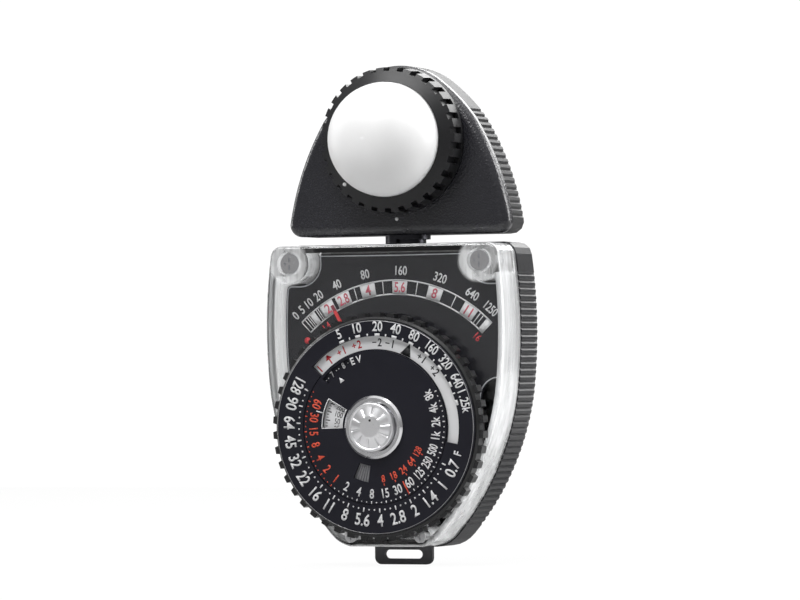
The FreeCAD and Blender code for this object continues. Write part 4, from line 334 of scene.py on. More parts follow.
# Printing ink: nearly even, with a faint mottle.
def ink(name, colour, gloss=0.505):
    finish = Finish(name)
    mottle = finish.noise(2600.0, 2.0)
    finish.shade(mottle, colour, scaled(colour, 0.9))
    return finish.rough(gloss, (mottle, 0.15)).bump(mottle, 0.000004)


# Clear plastic. Lamps shine through it, so that they reach what is behind.
def clearPlastic(name, tint, gloss, ior=1.49):
    finish = Finish(name, Transmission_Weight=1.0, IOR=ior)
    slow = finish.noise(120.0, 2.0)
    finish.shade(slow, tint, scaled(tint, 0.985)).rough(gloss, (slow, 0.012))
    seeThrough = finish.node("ShaderNodeBsdfTransparent", {}, {"Color": (0.94, 0.94, 0.94, 1)})
    shadow = finish.node("ShaderNodeLightPath", out="Is Shadow Ray")
    finish.body = finish.cover(shadow, finish.shader, seeThrough)
    return finish


# Moulded clear cover: its window is clear, and its walls, rims and corner posts carry painted light in
# upright
# streaks: a white glossy shader that glows a little stands in for the light that the thick clear plastic
# gathers.
def clearCover(name, look):
    finish = clearPlastic(name, look["tint"], look["gloss"])
    facing = finish.node("ShaderNodeNewGeometry", out="Normal")
    level = finish.node("ShaderNodeSeparateXYZ", {}, {"Vector": facing}, "Y")
    wall = finish.eased(level.maths("ABSOLUTE"), look["wall"], 1.0, 0.0)
    x, z = finish.axis("X").maths("ABSOLUTE") - look["post"][0], finish.axis("Z") - look["post"][1]
    out = (x * x + z * z).maths("SQRT")
    post = finish.eased(out, (look["postR"] * look["postCore"], look["postR"]), look["postShare"], 0.0)
    streaks = finish.streaks(finish.mapped(scale=look["streaks"]))
    strong = finish.eased(streaks, look["streakSpan"], look["least"], look["most"], "LINEAR")
    # painted light: white, glossy and faintly glowing, mixed over the walls and posts in streaks
    paintedGlowShader = finish.node("ShaderNodeBsdfPrincipled", {}, look["paintedGlowShader"])
    finish.cover(wall.maths("MAXIMUM", post) * strong, finish.body, paintedGlowShader)
    return finish


# White plastic that lets a little light into itself.
def milky(name):
    finish = Finish(name, Subsurface_Weight=0.2, Subsurface_Scale=0.002, Subsurface_Radius=(1, 1, 1),
                    IOR=1.45)
    slow = finish.noise(140.0)
    fine = finish.noise(3000.0, 2.0)
    finish.shade(slow, (0.90, 0.90, 0.90), (0.86, 0.86, 0.86))
    return finish.rough(0.42, (fine, 0.1), (slow, 0.06)).bump(fine, 0.000006)


# Turned and faceted silver: fine marks that run out from the axis.
def radialSilver(name, axisHeight):
    finish = Finish(name, Metallic=1.0)
    x, z = finish.fromAxis(axisHeight)
    around = finish.node("ShaderNodeCombineXYZ", {}, {"X": x.maths("ARCTAN2", z) * 60.0})
    marks = finish.streaks(around)
    slow = finish.noise(300.0, 2.0)
    finish.shade(slow, (0.86, 0.86, 0.87), (0.74, 0.74, 0.76))
    return finish.rough(0.31, (marks, 0.22), (slow, 0.08)).bump(marks, 0.000006)


wavePeriod = 0.314  # the period of a wave texture is this over its scale


# Enamelled wire wound in even turns across one axis.
def windings(name, colour, pitch):
    finish = Finish(name, Metallic=0.6)
    turns = finish.waves("Y", wavePeriod / pitch, 0.2)
    finish.shade(turns, scaled(colour, 0.45), colour)
    return finish.rough(0.33, (turns, 0.1)).bump(turns, 0.00004)


# Dark cell crossed by thin bright lines.
def cellFace(name):
    finish = Finish(name, Coat_Weight=0.6, Coat_Roughness=0.08)
    finish.shade(finish.waves("X", 160.0) > 0.96, (0.03, 0.045, 0.12), (0.55, 0.55, 0.52))
    return finish.rough(0.375, (finish.noise(400.0), 0.15))


# Green board with the pattern of its tracks.
def circuitBoard(name):
    finish = Finish(name)
    pattern = {"Vector": finish.mapped(scale=(260, 260, 260)), "Scale": 1.0, "Color1": (1, 1, 1, 1),
               "Color2": (0.9, 0.9, 0.9, 1), "Mortar": (0, 0, 0, 1)}
    tracks = finish.node("ShaderNodeTexBrick", {}, pattern, "Fac")
    finish.shade(tracks, (0.03, 0.16, 0.07), (0.10, 0.30, 0.12))
    return finish.rough(0.425, (finish.noise(900.0), 0.15)).bump(tracks, 0.00003)


# Banded resistors on one side of the board, and a plain blue trimmer on the other.
def banded(name):
    finish = Finish(name)
    x = finish.axis("X")
    rings = finish.waves("X", 220.0)
    body = finish.blend(finish.noise(1200.0), (0.60, 0.46, 0.31), (0.52, 0.39, 0.26))
    striped = finish.blend(rings > 0.82, body, (0.25, 0.06, 0.04))
    finish.shade(x > 0.0, striped, (0.05, 0.16, 0.42))
    return finish.rough(0.41, (finish.noise(700.0), 0.12))


def felt(name):
    finish = Finish(name, Sheen_Weight=0.6, Sheen_Roughness=0.5)
    fibres = finish.noise(9000.0, 5.0, 0.7)
    finish.shade(fibres, (0.03, 0.03, 0.03), (0.12, 0.12, 0.12))
    return finish.rough(0.90, (fibres, 0.1)).bump(fibres, 0.0001)


# One lead black, the other red.
def twoLeads(name):
    finish = Finish(name)
    finish.shade(finish.axis("X") > 0.0, (0.02, 0.02, 0.02), (0.45, 0.03, 0.03))
    return finish.rough(0.475, (finish.noise(1500.0), 0.15))


# The pointer is bright red, and darker over the scale band at its tip.
def needlePaint(name, dialHeight, bandStart, tilt):
    finish = Finish(name)
    x, z = finish.fromAxis(dialHeight)
    along = x * math.sin(tilt) + z * math.cos(tilt)
    finish.shade(along > bandStart, (0.60, 0.03, 0.035), (0.24, 0.03, 0.05))
    return finish.rough(0.425, (finish.noise(2000.0), 0.15))


jet = (0.008, 0.008, 0.009)
# In mm: the dial's axis height and disc radius, and the scale band's inner radius. In degrees: the needle's
# angle at rest.
dialZ, dialR = 31.0, 23.73
bandInner = 29.6
needleRest = -28.4
coverLook = {
    "tint": (0.99, 0.995, 0.995), "gloss": 0.016, "wall": (0.45, 0.97),
    "post": (0.023, 0.0677), "postR": 0.0052, "postCore": 0.8, "postShare": 0.75,  # metres, then shares
    "streaks": (330, 260, 22), "streakSpan": (0.35, 0.65), "least": 0.22, "most": 0.62,
    # the painted glow of the walls and posts: white, glossy, and glowing a little
    "paintedGlowShader": {"Base Color": (0.93, 0.94, 0.95, 1), "Roughness": 0.16, "Coat Weight": 0.6,
              "Emission Color": (1, 1, 1, 1), "Emission Strength": 0.22},
}
finishes = {finish.material.name: finish for finish in (
    plastic("caseBlack", (0.010, 0.010, 0.012), 0.40, 1600.0, 0.00003, 0.35),
    plastic("headRear", (0.012, 0.012, 0.013), 0.46, 1600.0, 0.00003, 0.35),
    grained("headGloss", (0.008, 0.008, 0.011), 0.25, 2100.0, 0.00008),
    clearCover("clearCover", coverLook),
    plastic("plateCharcoal", (0.010, 0.010, 0.013), 0.46, 5200.0, 0.0000012, 0.15),
    metal("screwChrome", (0.80, 0.80, 0.82), 0.16, (900, 900, 900)),
    metal("lugSteel", (0.10, 0.10, 0.105), 0.42, (300, 300, 5000)),
    metal("steel", (0.55, 0.55, 0.56), 0.32),
    metal("brass", (0.72, 0.53, 0.24), 0.30),
    metal("alloy", (0.70, 0.71, 0.72), 0.34),
    metal("iron", (0.22, 0.22, 0.23), 0.45),
    # painted shade: the neck's alloy is made near black so that it reads as the shaded gap between head and
    # case
    metal("neckAlloyPaintedShade", (0.035, 0.035, 0.04), 0.34),
    plastic("ringBlack", jet, 0.34, 2200.0, 0.00001, 0.35),
    milky("dome"),
    plastic("innerPlastic", (0.03, 0.03, 0.03), 0.5),
    clearPlastic("filterGreen", (0.55, 0.74, 0.62), 0.056, 1.5),
    cellFace("cellFace"),
    twoLeads("leads"),
    plastic("dialBlack", (0.007, 0.007, 0.012), 0.42, 4200.0, 0.000002, 0.2),
    plastic("gripBlack", (0.010, 0.010, 0.011), 0.30, 2000.0, 0.00002, 0.45),
    plastic("filmWhite", (0.66, 0.66, 0.67), 0.48, 2600.0, 0.000006),
    plastic("ribGrey", (0.20, 0.20, 0.21), 0.42, 2200.0, 0.00001),
    metal("bezelChrome", (0.86, 0.86, 0.88), 0.14, (300, 300, 300), 0.000001),
    radialSilver("buttonSilver", dialZ * mm),
    windings("coilCopper", (0.70, 0.33, 0.16), 0.0002),
    needlePaint("needleRed", dialZ * mm, bandInner * mm, math.radians(needleRest)),
    felt("padFelt"),
    clearPlastic("jewelRed", (0.80, 0.10, 0.16), 0.036, 1.7),
    circuitBoard("boardGreen"),
    banded("resistor"),
    ink("inkWhite", (0.74, 0.74, 0.75)),
    ink("inkBlack", (0.014, 0.014, 0.016)),
    ink("inkRed", (0.60, 0.025, 0.035)),
    ink("inkOrange", (0.72, 0.075, 0.030)),
    ink("inkRose", (0.55, 0.10, 0.14)),
    # painted highlight along the scale plate's edge
    ink("paintedEdgeHighlight", (0.42, 0.43, 0.45), 0.305),
    # painted highlight along the outer disc's rim
    metal("paintedRimHighlight", (0.45, 0.45, 0.46), 0.30, (600, 600, 600)),
)}

nodeFinish = {
    "caseBlack": ["rear_case"],
    "headRear": ["head_rear_shell"],
    "headGloss": ["head_front_shell"],
    "clearCover": ["front_cover"],
    "plateCharcoal": ["scale_plate"],
    "screwChrome": ["cover_screws"],
    "lugSteel": ["strap_lug"],
    "steel": ["foot_screws", "neck_washer", "neck_clip", "swivel_stop_pin", "neck_screws", "head_screws",
              "dial_washer", "stop_rod", "button_spring", "movement_screws", "pivot_staffs", "brake_lever",
              "brake_pin", "zero_lever", "small_screws"],
    "brass": ["slip_rings", "cell_contacts", "dial_hub", "hub_nut", "core_spacers",
              "bridge_pillars", "needle_counterweight", "hairsprings", "zero_screw", "contact_brushes"],
    "neckAlloyPaintedShade": ["swivel_neck", "neck_bush"],
    "alloy": ["neck_plate", "movement_frame", "front_bridge"],
    "iron": ["yoke_ring", "magnet_core"],
    "ringBlack": ["diffuser_ring"],
    "dome": ["diffuser_dome"],
    "innerPlastic": ["cell_frame", "cell_retainer", "hub_spacer"],
    "filterGreen": ["filter_glass"],
    "cellFace": ["photocell"],
    "leads": ["cell_leads"],
    "dialBlack": ["outer_scale_disc", "speed_scale_disc"],
    "gripBlack": ["serrated_ring"],
    "filmWhite": ["film_speed_disc"],
    "ribGrey": ["film_thumb_ribs"],
    "bezelChrome": ["button_bezel"],
    "buttonSilver": ["stop_button"],
    "coilCopper": ["moving_coil"],
    "needleRed": ["needle"],
    "padFelt": ["brake_pad"],
    "jewelRed": ["jewel_bearings"],
    "boardGreen": ["circuit_board"],
    "resistor": ["resistors"],
}
for finishName, members in nodeFinish.items():
    for member in members:
        nodes[member].material_slots[0].material = finishes[finishName].material
missed = set(nodes) - {m for ms in nodeFinish.values() for m in ms}
if missed:
    raise RuntimeError(f"no finish for {sorted(missed)}")
print("materials made:", len(finishes))

letterShapes = {}
letterLook = {"curveSteps": 4, "weight": 0.018, "merge": 0.0005}


# A word as a closed flat solid: across and up in units of its own figure height, thickness from 0 to 1.
def letterSolid(words, weight):
    key = (words, weight)
    if key in letterShapes:
        return letterShapes[key]
    curve = bpy.data.curves.new("letters", "FONT")
    curve.body = words
    curve.align_x = "CENTER"
    curve.resolution_u = letterLook["curveSteps"]
    curve.offset = weight
    curve.extrude = 0.5
    holder = bpy.data.objects.new("letters", curve)
    bpy.context.scene.collection.objects.link(holder)
    bpy.context.view_layer.update()
    mesh = bpy.data.meshes.new_from_object(holder.evaluated_get(bpy.context.evaluated_depsgraph_get()))
    work = bmesh.new()
    work.from_mesh(mesh)
    bmesh.ops.remove_doubles(work, verts=work.verts, dist=letterLook["merge"])
    bmesh.ops.recalc_face_normals(work, faces=work.faces)
    work.to_mesh(mesh)
    work.free()
    points, loops, totals = meshArrays(mesh)
    points[:, 2] += 0.5
    bpy.data.objects.remove(holder)
    bpy.data.curves.remove(curve)
    bpy.data.meshes.remove(mesh)
    letterShapes[key] = (points, loops, totals)
    return letterShapes[key]


def meshArrays(mesh):
    points = np.zeros(len(mesh.vertices) * 3)
    mesh.vertices.foreach_get("co", points)
    loops = np.zeros(len(mesh.loops), int)
    mesh.loops.foreach_get("vertex_index", loops)
    totals = np.zeros(len(mesh.polygons), int)
    mesh.polygons.foreach_get("loop_total", totals)
    return points.reshape(-1, 3), loops, totals


# Marks of one colour that ride together: solids are gathered as arrays and become one mesh.
class Marks:
    def __init__(self):
        self.points, self.loops, self.totals = [], [], []
        self.count = 0

    def add(self, points, loops, totals):
        self.points.append(points)
        self.loops.append(np.asarray(loops) + self.count)
        self.totals.append(np.asarray(totals))
        self.count += len(points)

    def make(self, name, finishName, body, slotName):
        points = np.concatenate(self.points) * mm
        loops = np.concatenate(self.loops)
        totals = np.concatenate(self.totals)
        mesh = bpy.data.meshes.new(name)
        mesh.vertices.add(len(points))
        mesh.vertices.foreach_set("co", points.ravel())
        mesh.loops.add(len(loops))
        mesh.loops.foreach_set("vertex_index", loops)
        mesh.polygons.add(len(totals))
        mesh.polygons.foreach_set("loop_start", np.concatenate([[0], np.cumsum(totals)[:-1]]))
        mesh.polygons.foreach_set("loop_total", totals)
        mesh.update(calc_edges=True)
        mesh.validate()
        mesh.materials.append(finishes[finishName].material)
        piece = bpy.data.objects.new(name, mesh)
        bpy.context.scene.collection.objects.link(piece)
        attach(piece, body)
        return piece


# A face to print on: its axis point across and up, its Y level and the ink's thickness, in mm.
class Face:
    def __init__(self, x, z, y, thick):
        self.x, self.z, self.y, self.thick = x, z, y, thick

    # Flat solid (across, up, 0..1) turned by an angle clockwise from the top and moved out from the axis.
    def put(self, solid, angle, radius, inward=False):
        points, loops, totals = solid
        a = math.radians(angle)
        out = np.array([math.sin(a), math.cos(a)])
        clockwise = np.array([math.cos(a), -math.sin(a)])
        up, across = (-out, -clockwise) if inward else (out, clockwise)
        flat = radius * out + points[:, :1] * across + points[:, 1:2] * up
        y = self.y - points[:, 2] * self.thick
        return np.column_stack([self.x + flat[:, 0], y, self.z + flat[:, 1]]), loops, totals

    # Sector between two radii and two angles: a rectangle carried round the axis.
    def sector(self, inner, outer, start, end, stepDegrees=3.0):
        steps = max(1, math.ceil((end - start) / stepDegrees))
        angle = np.radians(np.linspace(start, end, steps + 1))[:, None]
        radius = np.array([inner, outer, outer, inner])[None]
        level = np.array([0, 0, 1, 1])[None] * np.ones_like(angle)
        points = np.stack([self.x + radius * np.sin(angle), self.y - level * self.thick,
                           self.z + radius * np.cos(angle)], 2).reshape(-1, 3)
        i = np.arange(steps)[:, None] * 4
        j = np.arange(4)[None]
        k = (j + 1) % 4
        sides = np.stack([i + j, i + k, i + 4 + k, i + 4 + j], 2).reshape(-1, 4)
        caps = np.array([[3, 2, 1, 0], [4 * steps, 4 * steps + 1, 4 * steps + 2, 4 * steps + 3]])
        quads = np.concatenate([sides, caps])
        return points, quads.ravel(), np.full(len(quads), 4)


# A flat polygon given by its corners, anticlockwise, as a solid from 0 to 1.
def slabSolid(corners):
    corners = np.asarray(corners, float)
    count = len(corners)
    points = np.concatenate([np.column_stack([corners, np.full(count, level)]) for level in (0.0, 1.0)])
    i = np.arange(count)
    k = (i + 1) % count
    sides = np.stack([i, k, k + count, i + count], 1)
    loops = np.concatenate([i[::-1], i + count, sides.ravel()])
    return points, loops, np.array([count, count] + [4] * count)


def discSolid(radius, corners=10):
    turn = np.arange(corners) * 2 * math.pi / corners
    return slabSolid(np.column_stack([radius * np.cos(turn), radius * np.sin(turn)]))


def barSolid(width, height):
    return slabSolid([(-width / 2, -height / 2), (width / 2, -height / 2), (width / 2, height / 2),
                      (-width / 2, height / 2)])


# A word with figures of a given height in mm, narrowed by squeeze and centred on the middle of a figure.
def wordSolid(words, height, squeeze=0.86, weight=None):
    weight = letterLook["weight"] if weight is None else weight
    points, loops, totals = letterSolid(words, weight)
    figure = letterSolid("8", weight)[0]
    low, high = figure[:, 1].min(), figure[:, 1].max()
    scale = height / (high - low)
    moved = points.copy()
    moved[:, 0] *= scale * squeeze
    moved[:, 1] = (points[:, 1] - (low + high) / 2) * scale
    return moved, loops, totals


# Letters set one by one round an arc, spaced in degrees.
def putRound(marks, face, words, middle, radius, height, spacing, squeeze=0.86):
    for i, letter in enumerate(words):
        offset = (i - (len(words) - 1) / 2) * spacing
        marks.add(*face.put(wordSolid(letter, height, squeeze), middle + offset, radius))


inkDepth = 0.02
dialFace = Face(0, dialZ, -11.0, inkDepth)
stepFace = Face(0, dialZ, -10.35, inkDepth)
filmFace = Face(0, dialZ, -9.9, inkDepth)
plateFace = Face(0, dialZ, 1.7, inkDepth)

# Sizes are in mm, and angles in degrees clockwise from the top. Where a mark stands is given in mm from the
# axis, or below 1 as a share of the disc's radius.
outerScale = {
    "light": [("5", 337.9), ("10", 349.2), ("20", 2.4), ("40", 13.9), ("80", 25.9), ("160", 38.4),
              ("320", 50.4), ("640", 62.9)],
    "lightHeight": 2.25, "lightRadius": 0.9425, "lightSqueeze": 0.82, "threeSqueeze": 0.72,
    "lastLight": {"words": "1.25k", "middle": 74.9, "height": 2.07, "spacing": 2.7, "squeeze": 0.8},
    "block": (0.852, 0.876), "blockHalf": 1.7, "smallHalf": 0.45,
    "stops": ["0.7", "1", "1.4", "2", "2.8", "4", "5.6", "8", "11", "16", "22", "32", "45", "64", "90",
              "128"],
    "stopFrom": 116.4, "stopStep": 12.047, "stopHeight": 2.75, "stopRadius": 0.872, "stopSqueeze": 0.80,
    "tick": (0.757, 0.797), "tickWidth": 0.3, "dotRadius": 0.2, "dotAt": 0.772,
    "unit": {"words": "F", "at": 106.5, "height": 1.9, "squeeze": 0.85},
}
lightValues = {
    "count": 22, "from": 246.518, "step": 12.047, "height": 1.5, "squeeze": 0.72, "radius": 0.662,
    "dots": (0.39, 0.61), "dotRadius": 0.14,
}
smallCorners = 8
thirds = (1 / 3, 2 / 3)


def printOuterDisc(look):
    marks = Marks()
    lightRadius, stopRadius = look["lightRadius"] * dialR, look["stopRadius"] * dialR
    for words, angle in look["light"]:
        squeeze = look["threeSqueeze"] if len(words) == 3 else look["lightSqueeze"]
        marks.add(*dialFace.put(wordSolid(words, look["lightHeight"], squeeze), angle, lightRadius))
    putRound(marks, dialFace, radius=lightRadius, **look["lastLight"])
    inner, outer = (r * dialR for r in look["block"])
    angles = [a for _, a in look["light"]] + [look["lastLight"]["middle"]]
    unwrapped = np.unwrap(np.radians(angles)) * 180 / math.pi
    middles = (unwrapped[1:] + unwrapped[:-1]) / 2
    for places, half in ((unwrapped, look["blockHalf"]), (middles, look["smallHalf"])):
        for angle in places:
            marks.add(*dialFace.sector(inner, outer, angle - half, angle + half))
    stop = [look["stopFrom"] + i * look["stopStep"] for i in range(len(look["stops"]))]
    low, high = (r * dialR for r in look["tick"])
    for words, angle in zip(look["stops"], stop):
        squeeze = look["threeSqueeze"] if words.isdigit() and len(words) == 3 else look["stopSqueeze"]
        marks.add(*dialFace.put(wordSolid(words, look["stopHeight"], squeeze), angle, stopRadius, True))
        marks.add(*dialFace.put(barSolid(look["tickWidth"], high - low), angle, (low + high) / 2))
    for angle in stop[:-1]:
        for share in thirds:
            marks.add(*dialFace.put(discSolid(look["dotRadius"]), angle + share * look["stopStep"],
                                    look["dotAt"] * dialR))
    unit = look["unit"]
    letter = wordSolid(unit["words"], unit["height"], unit["squeeze"])
    marks.add(*dialFace.put(letter, unit["at"], stopRadius, True))
    marks.make("outerDiscMarks", "inkWhite", "dial", "film_white")


# Figures on the disc's lower step, seen through the inner disc's opening.
def printLightValues(look):
    marks = Marks()
    radius = look["radius"] * dialR
    dot = discSolid(look["dotRadius"], smallCorners)
    for i in range(look["count"]):
        angle = look["from"] + i * look["step"]
        marks.add(*stepFace.put(wordSolid(str(i + 1), look["height"], look["squeeze"]), angle, radius))
        for share in look["dots"]:
            marks.add(*stepFace.put(dot, angle + share * look["step"], radius))
    marks.make("lightValueMarks", "inkWhite", "dial", "film_white")


printOuterDisc(outerScale)
printLightValues(lightValues)

speedScale = {
    # colour, words, first angle and step of each row
    "rows": [("white", ["8k", "4k", "2k", "1k", "500", "250", "125", "60"], 61.9, 12.0),
             ("white", ["30", "15", "8", "4", "2"], 158.4, 12.3),
             ("orange", ["1", "2", "4", "8", "15", "30", "60"], 219.6, 11.8)],
    "height": 2.15, "radius": 0.622, "squeeze": 0.74, "threeSqueeze": 0.56,
    "tick": (0.692, 0.715), "tickWidth": 0.24, "dotRadius": 0.15,
    "frames": [("8", 170.0), ("18", 157.5), ("24", 144.0), ("64", 131.0), ("128", 118.0)],
    "frameHeight": 1.65, "frameRadius": 0.488, "frameSqueeze": 0.80, "frameThreeSqueeze": 0.68,
    "frameTick": (0.22, 0.5), "frameTickRadius": 0.542,
    "longBar": {"at": 150.8, "radius": 0.645, "size": (0.28, 3.2)},
    "unit": {"words": "EV", "middle": 343.5, "radius": 0.655 * dialR, "height": 1.7, "spacing": 6.0},
    "arrow": {"at": 323.0, "radius": 0.555, "corners": [(-0.62, -0.5), (0.62, -0.5), (0.0, 0.75)]},
    "window": {"inner": 7.9, "outer": 12.6, "at": 284.6, "half": 15.0, "line": 0.22, "end": 1.0,
               "tick": (0.24, 1.9)},
}


# Figures and ticks of the fixed inner disc.
def printSpeedDisc(look):
    marks = {"white": Marks(), "orange": Marks()}
    low, high = (r * dialR for r in look["tick"])
    middle = (low + high) / 2
    tick = barSolid(look["tickWidth"], high - low)
    dot = discSolid(look["dotRadius"], smallCorners)
    for colour, words, start, step in look["rows"]:
        for i, word in enumerate(words):
            angle = start + i * step
            squeeze = look["threeSqueeze"] if len(word) == 3 else look["squeeze"]
            figure = wordSolid(word, look["height"], squeeze)
            marks[colour].add(*dialFace.put(figure, angle, look["radius"] * dialR, True))
            marks[colour].add(*dialFace.put(tick, angle, middle))
            for share in thirds:
                marks[colour].add(*dialFace.put(dot, angle + share * step, middle))
    orange, white = marks["orange"], marks["white"]
    for word, angle in look["frames"]:
        squeeze = look["frameThreeSqueeze"] if len(word) == 3 else look["frameSqueeze"]
        figure = wordSolid(word, look["frameHeight"], squeeze)
        orange.add(*dialFace.put(figure, angle, look["frameRadius"] * dialR, True))
        orange.add(*dialFace.put(barSolid(*look["frameTick"]), angle, look["frameTickRadius"] * dialR))
    bar, arrow = look["longBar"], look["arrow"]
    orange.add(*dialFace.put(barSolid(*bar["size"]), bar["at"], bar["radius"] * dialR))
    putRound(white, dialFace, **look["unit"])
    white.add(*dialFace.put(slabSolid(arrow["corners"]), arrow["at"], arrow["radius"] * dialR))
    printWindow(white, **look["window"])
    white.make("speedDiscMarks", "inkWhite", "case", "film_white")
    orange.make("speedDiscOrangeMarks", "inkOrange", "case", "needle_red")


# A line round the film speed window, and its mark: two arcs, two ends and a tick.
def printWindow(marks, inner, outer, at, half, line, end, tick):
    for low, high, start, stop in ((outer, outer + line, -half - end, half + end),
                                   (inner - line, inner, -half - end, half + end),
                                   (inner, outer, half, half + end), (inner, outer, -half - end, -half)):
        marks.add(*dialFace.sector(low, high, at + start, at + stop))
    marks.add(*dialFace.put(barSolid(*tick), at, outer + tick[1] / 2))


printSpeedDisc(speedScale)

filmMarks = {
    "speeds": ["6", "12", "25", "50", "100", "200", "400", "800", "1600"], "from": 250.0, "step": 9.3,
    "height": 1.25, "radius": 9.55, "squeeze": 0.78,
    "tick": (11.3, 12.3), "tickWidth": 0.22, "shortTick": (11.8, 12.3), "shortWidth": 0.15,
    # the exposure band: sign, figure and angle, in black and in red
    "bandRadius": 0.793 * dialR, "figure": 1.85, "figureSqueeze": 0.85, "figureShift": 1.6, "signShift": -2.4,
    "dash": (1.0, 0.24), "stroke": (0.24, 0.38), "strokeOut": 0.31,
    "black": [("-", "2", 1.5), ("-", "1", 11.2), ("+", "1", 36.5), ("+", "2", 48.7)],
    "red": [("+", "1", 334.5), ("+", "2", 346.3)],
    "pointer": (24.3, [(-1.35, -1.5), (1.35, -1.5), (0.0, 1.35)]),
    "one": ("1", 313.8),
    "arrow": (323.4, [(-0.85, 0.1), (0.85, 0.1), (0.0, 1.25)]), "shaft": (0.3, 1.3), "shaftIn": 0.5,
}


# A flat solid turned a quarter, so that it reads inwards along the radius.
def turned(solid):
    points, loops, totals = solid
    return np.column_stack([points[:, 1], -points[:, 0], points[:, 2]]), loops, totals


# A signed figure on the exposure band: a dash, with two strokes that make it a plus.
def printSigned(marks, sign, figure, angle, look):
    radius, at = look["bandRadius"], angle + look["signShift"]
    digit = wordSolid(figure, look["figure"], look["figureSqueeze"])
    marks.add(*filmFace.put(digit, angle + look["figureShift"], radius))
    marks.add(*filmFace.put(barSolid(*look["dash"]), at, radius))
    if sign == "+":
        for side in (look["strokeOut"], -look["strokeOut"]):
            marks.add(*filmFace.put(barSolid(*look["stroke"]), at, radius + side))


def printFilmDisc(look):
    black, red = Marks(), Marks()
    for i, words in enumerate(look["speeds"]):
        angle = look["from"] + i * look["step"]
        ticks = [(angle, look["tick"], look["tickWidth"])]
        ticks += [(angle + share * look["step"], look["shortTick"], look["shortWidth"]) for share in thirds]
        figure = turned(wordSolid(words, look["height"], look["squeeze"], 0.0))
        black.add(*filmFace.put(figure, angle, look["radius"]))
        for place, (low, high), width in ticks:
            black.add(*filmFace.put(barSolid(width, high - low), place, (low + high) / 2))
    for marks, colour in ((black, "black"), (red, "red")):
        for sign, figure, angle in look[colour]:
            printSigned(marks, sign, figure, angle, look)
    radius = look["bandRadius"]
    angle, corners = look["pointer"]
    black.add(*filmFace.put(slabSolid(corners), angle, radius))
    words, angle = look["one"]
    red.add(*filmFace.put(wordSolid(words, look["figure"], look["figureSqueeze"]), angle, radius))
    angle, corners = look["arrow"]
    red.add(*filmFace.put(slabSolid(corners), angle, radius))
    red.add(*filmFace.put(barSolid(*look["shaft"]), angle, radius - look["shaftIn"]))
    black.make("filmDiscMarks", "inkBlack", "film", "dial_black")
    red.make("filmDiscRedMarks", "inkRed", "film", "needle_red")


printFilmDisc(filmMarks)

plateScale = {
    "arcInner": bandInner, "arcOuter": 32.75, "line": 0.32, "from": -44.0, "to": 45.8,
    "blocks": [("2", -31.5), ("2.8", -23.5), ("4", -11.8), ("5.6", 2.4), ("8", 18.2), ("11", 35.0)],
    "blockHalf": 3.25, "plainBlocks": [(-39.6, -37.2), (43.0, 45.8)],
    "dividers": [-17.6, -5.0, 10.0, 27.3, -42.3, -41.1, -40.2, -36.2, -35.3, -34.6, 39.6, 41.2],
    "lights": [("0", -44.0), ("5", -40.7), ("10", -37.2), ("20", -32.2), ("40", -23.8), ("80", -11.8),
               ("160", 2.5), ("320", 18.6), ("640", 32.7), ("1250", 41.6)],
    "lightHeight": 2.1, "lightRadius": 34.9, "lightSqueeze": 0.76, "fourSqueeze": 0.66,
    "stopHeight": 2.35, "stopSqueeze": 0.85, "pointSqueeze": 0.70, "dividerWidth": 0.2, "stepDegrees": 2.0,
    "redWords": [("1.4", 1.5, -36.5), ("16", 1.7, 45.0)], "redRadius": 28.1, "redSqueeze": 0.8,
    "redDot": {"radius": 0.75, "at": -47.7, "out": 28.9},
}
roundCorners = 20


def printPlate(look):
    white, rose, red = Marks(), Marks(), Marks()
    inner, outer, line = look["arcInner"], look["arcOuter"], look["line"]
    for radius in (inner, outer):
        white.add(*plateFace.sector(radius - line / 2, radius + line / 2, look["from"], look["to"],
                                    look["stepDegrees"]))
    bandMiddle = (inner + outer) / 2
    # the stops stand on the white blocks, clear of them by a fifth of the ink's depth
    raised = Face(0, dialZ, plateFace.y - inkDepth * 1.2, inkDepth)
    for words, angle in look["blocks"]:
        white.add(*plateFace.sector(inner, outer, angle - look["blockHalf"], angle + look["blockHalf"]))
        squeeze = look["pointSqueeze"] if "." in words else look["stopSqueeze"]
        rose.add(*raised.put(wordSolid(words, look["stopHeight"], squeeze), angle, bandMiddle))
    for start, end in look["plainBlocks"]:
        white.add(*plateFace.sector(inner, outer, start, end))
    for angle in look["dividers"] + [look["from"]]:
        white.add(*plateFace.put(barSolid(look["dividerWidth"], outer - inner), angle, bandMiddle))
    for words, angle in look["lights"]:
        squeeze = look["fourSqueeze"] if len(words) == 4 else look["lightSqueeze"]
        white.add(*plateFace.put(wordSolid(words, look["lightHeight"], squeeze), angle, look["lightRadius"]))
    for words, height, angle in look["redWords"]:
        red.add(*plateFace.put(wordSolid(words, height, look["redSqueeze"]), angle, look["redRadius"]))
    dot = look["redDot"]
    red.add(*plateFace.put(discSolid(dot["radius"], roundCorners), dot["at"], dot["out"]))
    white.make("scalePlateMarks", "inkWhite", "case", "film_white")
    rose.make("scalePlateStopMarks", "inkRose", "case", "needle_red")
    red.make("scalePlateRedMarks", "inkRed", "case", "needle_red")


printPlate(plateScale)


# Quads between rows of points, each row a closed loop: the rows may close on themselves too.
def loopQuads(rows, around, closed=True):
    i = np.arange(rows if closed else rows - 1)[:, None]
    j = np.arange(around)[None]
    i2, j2 = (i + 1) % rows, (j + 1) % around
    quads = [i * around + j, i2 * around + j, i2 * around + j2, i * around + j2]
    return np.stack(quads, 2).reshape(-1, 4)


